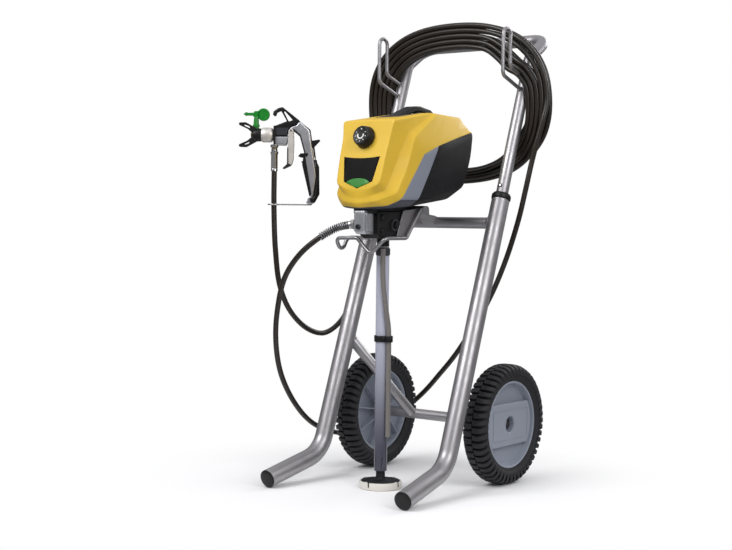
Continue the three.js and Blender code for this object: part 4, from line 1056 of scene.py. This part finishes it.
def add_gun_body():
    barrel = [(-2, 4), (25, 4), (29, 12), (35, 23.4), (-2, 23.4)]
    gun_plate("gun_barrel", barrel, 22, 3.6, cast, "gun_body")
    handle = [(24, 18), (31, 22), (39, 35.6), (53.7, 23.4), (63.4, -10.6), (59.8, -35), (76, -104),
              (84, -104), (90, -60), (84, -20), (80.4, -1), (74.3, 36.8), (54, 56), (46, 47), (34, 43),
              (26, 24)]
    gun_plate("gun_handle", handle, 21.6, 3.4, cast, corner=5)
    front = [(62.6, -13), (67, -22), (80, -98), (76.6, -103), (74.8, -102), (59.2, -36)]
    gun_plate("gun_front_insert", front, 23, 1.6, black)
    for k in range(9):
        z = -31 - 7.4 * k
        x = 60 + (-z - 35) * 0.2355
        rib = [(x - 1.2, z + 2), (x + 4, z + 3), (x + 4.6, z), (x - 0.6, z - 1.6)]
        gun_plate(f"gun_front_rib_{k}", rib, 24, 1, black, corner=0.6)
    # Painted shade: a thin dark strip along the handle's inner edge beside the trigger, 0.4 mm proud of each
    # face, darkening the rounded edge where it turns into the gap.
    inner = [(38.6, 36.6), (53.5, 24.2), (63.2, -10.5), (60.2, -33), (63, -34), (66.6, -10.4), (56.6, 26.4),
             (41, 40.4)]
    gun_plate("gun_arch_painted_shade", inner, 22.4, 0.8, dark_trim, corner=1)
    flange = [(-1.6, 5.4), (3, 5.4), (3, 46), (-1.6, 44.6)]
    gun_plate("gun_front_flange", flange, 30, 1.4, black)
    cover = [(0.4, 23.8), (27.6, 23.8), (33.4, 43.5), (45.6, 47.6), (53.4, 56.6), (17.2, 84.7), (8, 82.5),
             (-1.5, 76), (-3.4, 69), (-0.4, 65.4), (3.4, 67), (5, 73), (13.6, 77.2), (26.4, 55), (0.4, 45)]
    window = [(19, 76), (30, 54.5), (39, 57.5), (21.5, 76.6)]
    gun_plate("gun_cover_shell", cover, 24, 3, black, "gun_cover", holes=[window])
    back = [(53, 56), (76, 38), (82, 0), (80, -0.6), (72.6, 35.6), (52, 52.6)]
    gun_plate("gun_back_strip", back, 15, 0.8, black)
    for name, way in (("near", 1), ("far", -1)):
        side = [(3, 26), (26, 26), (30.6, 41), (3, 41)]
        gun_plate(f"gun_cover_badge_{name}", side, 0.8, 0.3, dark_trim, middle=way * 12.1)
        lathe(f"gun_screw_{name}", [(0, 0), (3, 0), (3, 1), (2.4, 1.6), (0, 1.7)],
              GUN_M @ placed((69, -way * 10.6, -14), (0, -way, 0)), dark_steel, body="gun", segments=20)
    grip = [(84.6, -18), (95, -40), (96.2, -98), (86, -117), (77, -115), (75.6, -104.4), (84.4, -104.4),
            (90.4, -60)]
    gun_plate("gun_rear_grip", grip, 26, 4, black, "gun_grip", corner=5)
    gun_plate("gun_grip_spike", [(79, 3), (84, 1), (97, 15), (95.4, 17.6), (77, 14.6)], 14, 1.2, black)
    gun_plate("gun_grip_step", [(80.6, 3.8), (84.6, 3), (88.6, -26), (84.6, -19.7)], 14, 1.2, black)
    gun_plate("gun_foot", [(72.8, -105), (80, -105), (86, -117.5), (74, -119), (68, -117)], 13, 1.2, cast)
    swivel = [(0, -8.2), (6, -8.2), (6.8, -7.4), (6.8, -4.4), (5.6, -3.8), (5.6, -0.6), (8.2, 0), (8.5, 1),
              (8.5, 5), (7.6, 6), (0, 6.2)]
    lathe("gun_swivel_body", swivel, GUN_M, steel, "gun_swivel", body="gun", segments=36)
    lathe("gun_swivel_band", [(5.4, -3.6), (6.4, -3.4), (6.4, -1), (5.4, -0.8), (5.4, -3.6)], GUN_M, brass,
          body="gun", segments=6, sharp=25)


def add_trigger():
    # Painted highlight: the cheeks of the one-piece trigger are a pale warm alloy, lighter than the part's
    # metal, as its lit side.
    cheek = [(30.5, 36), (35.5, 40.4), (40.5, 36), (41.5, 8), (40.3, -25), (37, -37), (29, -34), (28.2, 0),
             (29, 12)]
    for name, way in (("near", 1), ("far", -1)):
        gun_plate(f"trigger_cheek_{name}", cheek, 2.2, 0.8, nut_finish, "trigger" if way > 0 else (),
                  body="trigger", middle=way * 13.8, corner=3)
    # Painted shade: the trigger's front face is dark steel, darker than the cheeks of the same part, as its
    # shaded side.
    face = [(27.6, 0), (31.4, 1), (32, -34), (37, -37.4), (19.6, -45.9), (18.2, -43.6), (27.4, -35)]
    gun_plate("trigger_front_painted_shade", face, 29.8, 1.1, dark_steel, body="trigger")
    pin = [(0, -15.6), (1.9, -15.6), (2.5, -15), (2.5, 15), (1.9, 15.6), (0, 15.6)]
    lathe("trigger_pin_rod", pin, GUN_M @ placed((35.5, 0, 35), (0, 1, 0)), steel, "trigger_pin",
          body="gun", segments=24)
    gun_plate("trigger_lock_finger", [(49.8, -19.6), (60.2, -17.8), (60.2, -13.8), (52, -15)], 8, 1, black,
              "trigger_lock", body="trigger_lock")
    for name, way in (("near", 1), ("far", -1)):
        lug = [(53, -20), (62, -21), (71, -18), (70.6, -14), (62, -12), (54.4, -12.6)]
        gun_plate(f"trigger_lock_lug_{name}", lug, 1.0, 0.4, black, body="trigger_lock", middle=way * 11.9)
    gun_plate("trigger_lock_bridge", [(55.8, -18.2), (60.2, -18.2), (60.2, -13.8), (55.8, -13.8)], 24.6,
              0.8, black, body="trigger_lock")


def add_gun_nose():
    nose = GUN_M @ placed((0, 0, 26), (-1, 0, 0))
    nut = [(0, 2.4), (10.6, 2.4), (12.4, 3), (14, 4), (15.6, 7.4), (15.8, 8.6), (15.8, 14.6), (15.3, 15.2),
           (15.8, 15.8), (15.8, 23.4), (15.2, 24.8), (13.5, 27.7), (0, 27.7)]
    lathe("nozzle_nut_ring", nut, nose, nut_finish, "nozzle_nut", body="gun",
          segments=56)
    hub = [(0, 28), (12.9, 28), (13.8, 29), (14.2, 38), (13.6, 41.5), (9.6, 48), (7, 48.4), (6.6, 46.5),
           (0, 46)]
    lathe("tip_guard_hub", hub, nose, black, "tip_guard", body="tip_guard")
    lathe("tip_guard_seat", [(0, 46.2), (4.6, 46.2), (5, 47), (5, 49.6), (4, 50.2), (2, 50), (1.6, 48.8),
                             (0, 48.6)], nose, brass, body="tip_guard", segments=28)
    for name, way in (("upper", 1), ("lower", -1)):
        prong = [(-44, 2 * way), (-37, 13.4 * way), (-60, 26 * way), (-74.6, 25.4 * way),
                 (-74.6, 20.6 * way), (-57, 12.6 * way), (-47, 4 * way)]
        slot_hole = [(-50, 13 * way), (-54, 18.6 * way), (-66, 22.6 * way), (-62, 18.2 * way)]
        gun_plate(f"tip_guard_prong_{name}", [(s, t + 26) for s, t in prong], 22, 1.6, black,
                  body="tip_guard", holes=[[(s, t + 26) for s, t in slot_hole]])
    x = -38.8
    stem = [(0, 14), (5.6, 14), (6, 14.6), (6, 42), (7.4, 43), (7.4, 47), (6, 48), (5.6, 56), (4.4, 64),
            (0, 66)]
    lathe("spray_tip_stem", stem, GUN_M @ Matrix.Translation((x, 0, 0)), green, "spray_tip",
          body="spray_tip", segments=40)
    flag = [(0, -3.5), (12.2, -3.5), (13.3, -2.4), (13.3, 2.4), (12.2, 3.5), (8.6, 3.5), (8, 2.7), (0, 2.7)]
    lathe("spray_tip_flag", flag, GUN_M @ placed((-23.5, 0, 68.8), (0, -1, 0)), green, body="spray_tip",
          segments=56)
    arrow = [(-66.5, 69.6), (-60, 74), (-56, 72.4), (-44, 72.8), (-43, 76), (-24, 77), (-24, 61),
             (-34, 61.6), (-45, 64.4), (-46, 66.4), (-58, 66.6), (-60, 65.5)]
    gun_plate("spray_tip_arrow", arrow, 7, 1.1, green, body="spray_tip", corner=1)


def add_hose_guide():
    height = -120.6
    eye = [(12 * math.cos(TAU * k / 48), 12 * math.sin(TAU * k / 48), height) for k in range(48)]
    tube("hose_guide_eye", [GUN_M @ Vector(p) for p in eye], 1.6, steel, "hose_guide", body="gun", sides=12,
         closed=True)
    rod = rounded_line([(11.9, 0, height), (80, 0, height), (80, 0, -112)], 3, 6)
    tube("hose_guide_rod", [GUN_M @ p for p in rod], 1.6, steel, body="gun", sides=12)


add_housing()
add_front_label()
add_knob()
add_top_handle()
add_pump()
add_suction_set()
add_bracket()
add_pail_hook()
add_gland()
add_gun_body()
add_trigger()
add_gun_nose()
add_hose_guide()

# ------------------------------------------------------------------ CAD nodes inside the housing
for node_name, kept_material in (("motor_can", steel), ("motor_rotor", brass), ("cooling_fan", black),
                                 ("drive_gear", steel), ("piston", steel)):
    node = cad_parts[node_name]
    for material_slot in node.material_slots:
        material_slot.material = kept_material


# ------------------------------------------------------------------ floor, light and world
def add_floor():
    size = 9.0
    mesh = bpy.data.meshes.new("floor")
    mesh.from_pydata([(-size, -size, 0), (size, -size, 0), (size, size, 0), (-size, size, 0)], [],
                     [(0, 1, 2, 3)])
    floor = bpy.data.objects.new("floor", mesh)
    scene.collection.objects.link(floor)
    material = bpy.data.materials.new("pale_floor")
    material.use_nodes = True
    tree = material.node_tree
    links, shader, output = tree.links, tree.nodes["Principled BSDF"], tree.nodes["Material Output"]
    place = add_node(tree, "TexCoord")
    grain = add_node(tree, "TexNoise", Scale=3.0, Detail=4.0)
    links.new(place.outputs["Object"], grain.inputs["Vector"])
    tone = add_node(tree, "ValToRGB")
    low_tone, high_tone = tone.color_ramp.elements
    low_tone.color, high_tone.color = (0.86, 0.86, 0.87, 1), (0.9, 0.9, 0.9, 1)
    links.new(grain.outputs["Fac"], tone.inputs["Fac"])
    links.new(tone.outputs["Color"], shader.inputs["Base Color"])
    shader.inputs["Roughness"].default_value = 0.9
    shader.inputs["Specular IOR Level"].default_value = 0.1
    away = add_node(tree, "VectorMath", {"operation": "DISTANCE"})
    links.new(place.outputs["Object"], away.inputs[0])
    away.inputs[1].default_value = (-0.02, 0.04, 0)
    fade = add_node(tree, "MapRange", {"interpolation_type": "SMOOTHSTEP"}, From_Min=0.26, From_Max=0.66)
    links.new(away.outputs["Value"], fade.inputs["Value"])
    glow = add_node(tree, "Emission", Color=(1, 1, 1, 1))
    seen = add_node(tree, "LightPath")
    level = add_node(tree, "MapRange", To_Min=0.3)
    links.new(seen.outputs["Is Camera Ray"], level.inputs["Value"])
    links.new(level.outputs["Result"], glow.inputs["Strength"])
    mix = add_node(tree, "MixShader")
    links.new(fade.outputs["Result"], mix.inputs["Fac"])
    links.new(shader.outputs[0], mix.inputs[1])
    links.new(glow.outputs[0], mix.inputs[2])
    links.new(mix.outputs[0], output.inputs["Surface"])
    mesh.materials.append(material)


def add_light(name, at, target, size, power, tint=(1, 1, 1)):
    data = bpy.data.lights.new(name, "AREA")
    data.shape, data.size, data.size_y, data.energy, data.color = "RECTANGLE", size[0], size[1], power, tint
    light = bpy.data.objects.new(name, data)
    scene.collection.objects.link(light)
    light.location = at
    light.rotation_mode = "QUATERNION"
    light.rotation_quaternion = (Vector(target) - Vector(at)).to_track_quat("-Z", "Y")


def add_world():
    world = bpy.data.worlds.new("studio")
    scene.world = world
    world.use_nodes = True
    tree = world.node_tree
    links, back = tree.links, tree.nodes["Background"]
    place = add_node(tree, "TexCoord")
    parts = add_node(tree, "SeparateXYZ")
    links.new(place.outputs["Generated"], parts.inputs[0])
    ramp = add_node(tree, "ValToRGB")
    stops = ((0.0, 0.30), (0.48, 0.26), (0.56, 0.12), (0.72, 0.42), (1.0, 0.75))
    while len(ramp.color_ramp.elements) < len(stops):
        ramp.color_ramp.elements.new(0.5)
    for element, (position, level) in zip(ramp.color_ramp.elements, stops):
        element.position, element.color = position, (level, level, level * 1.03, 1)
    height = add_node(tree, "MapRange", From_Min=-1)
    links.new(parts.outputs["Z"], height.inputs["Value"])
    links.new(height.outputs["Result"], ramp.inputs["Fac"])
    seen = add_node(tree, "LightPath")
    mix = add_node(tree, "Mix", {"data_type": "RGBA"})
    links.new(seen.outputs["Is Camera Ray"], mix.inputs["Factor"])
    links.new(ramp.outputs["Color"], mix.inputs["A"])
    mix.inputs["B"].default_value = (1, 1, 1, 1)
    links.new(mix.outputs["Result"], back.inputs["Color"])


add_floor()
add_world()
add_light("key_softbox", (-0.7, -2.0, 2.3), (0, 0.05, 0.5), (1.6, 1.2), 47)
add_light("fill_softbox", (2.4, -0.7, 1.7), (0, 0.1, 0.5), (1.4, 1.6), 32)
add_light("rear_rim", (0.4, 2.4, 1.6), (0, 0.2, 0.6), (1.8, 1.0), 22)
scene.view_settings.view_transform = "Standard"
scene.view_settings.look = "None"
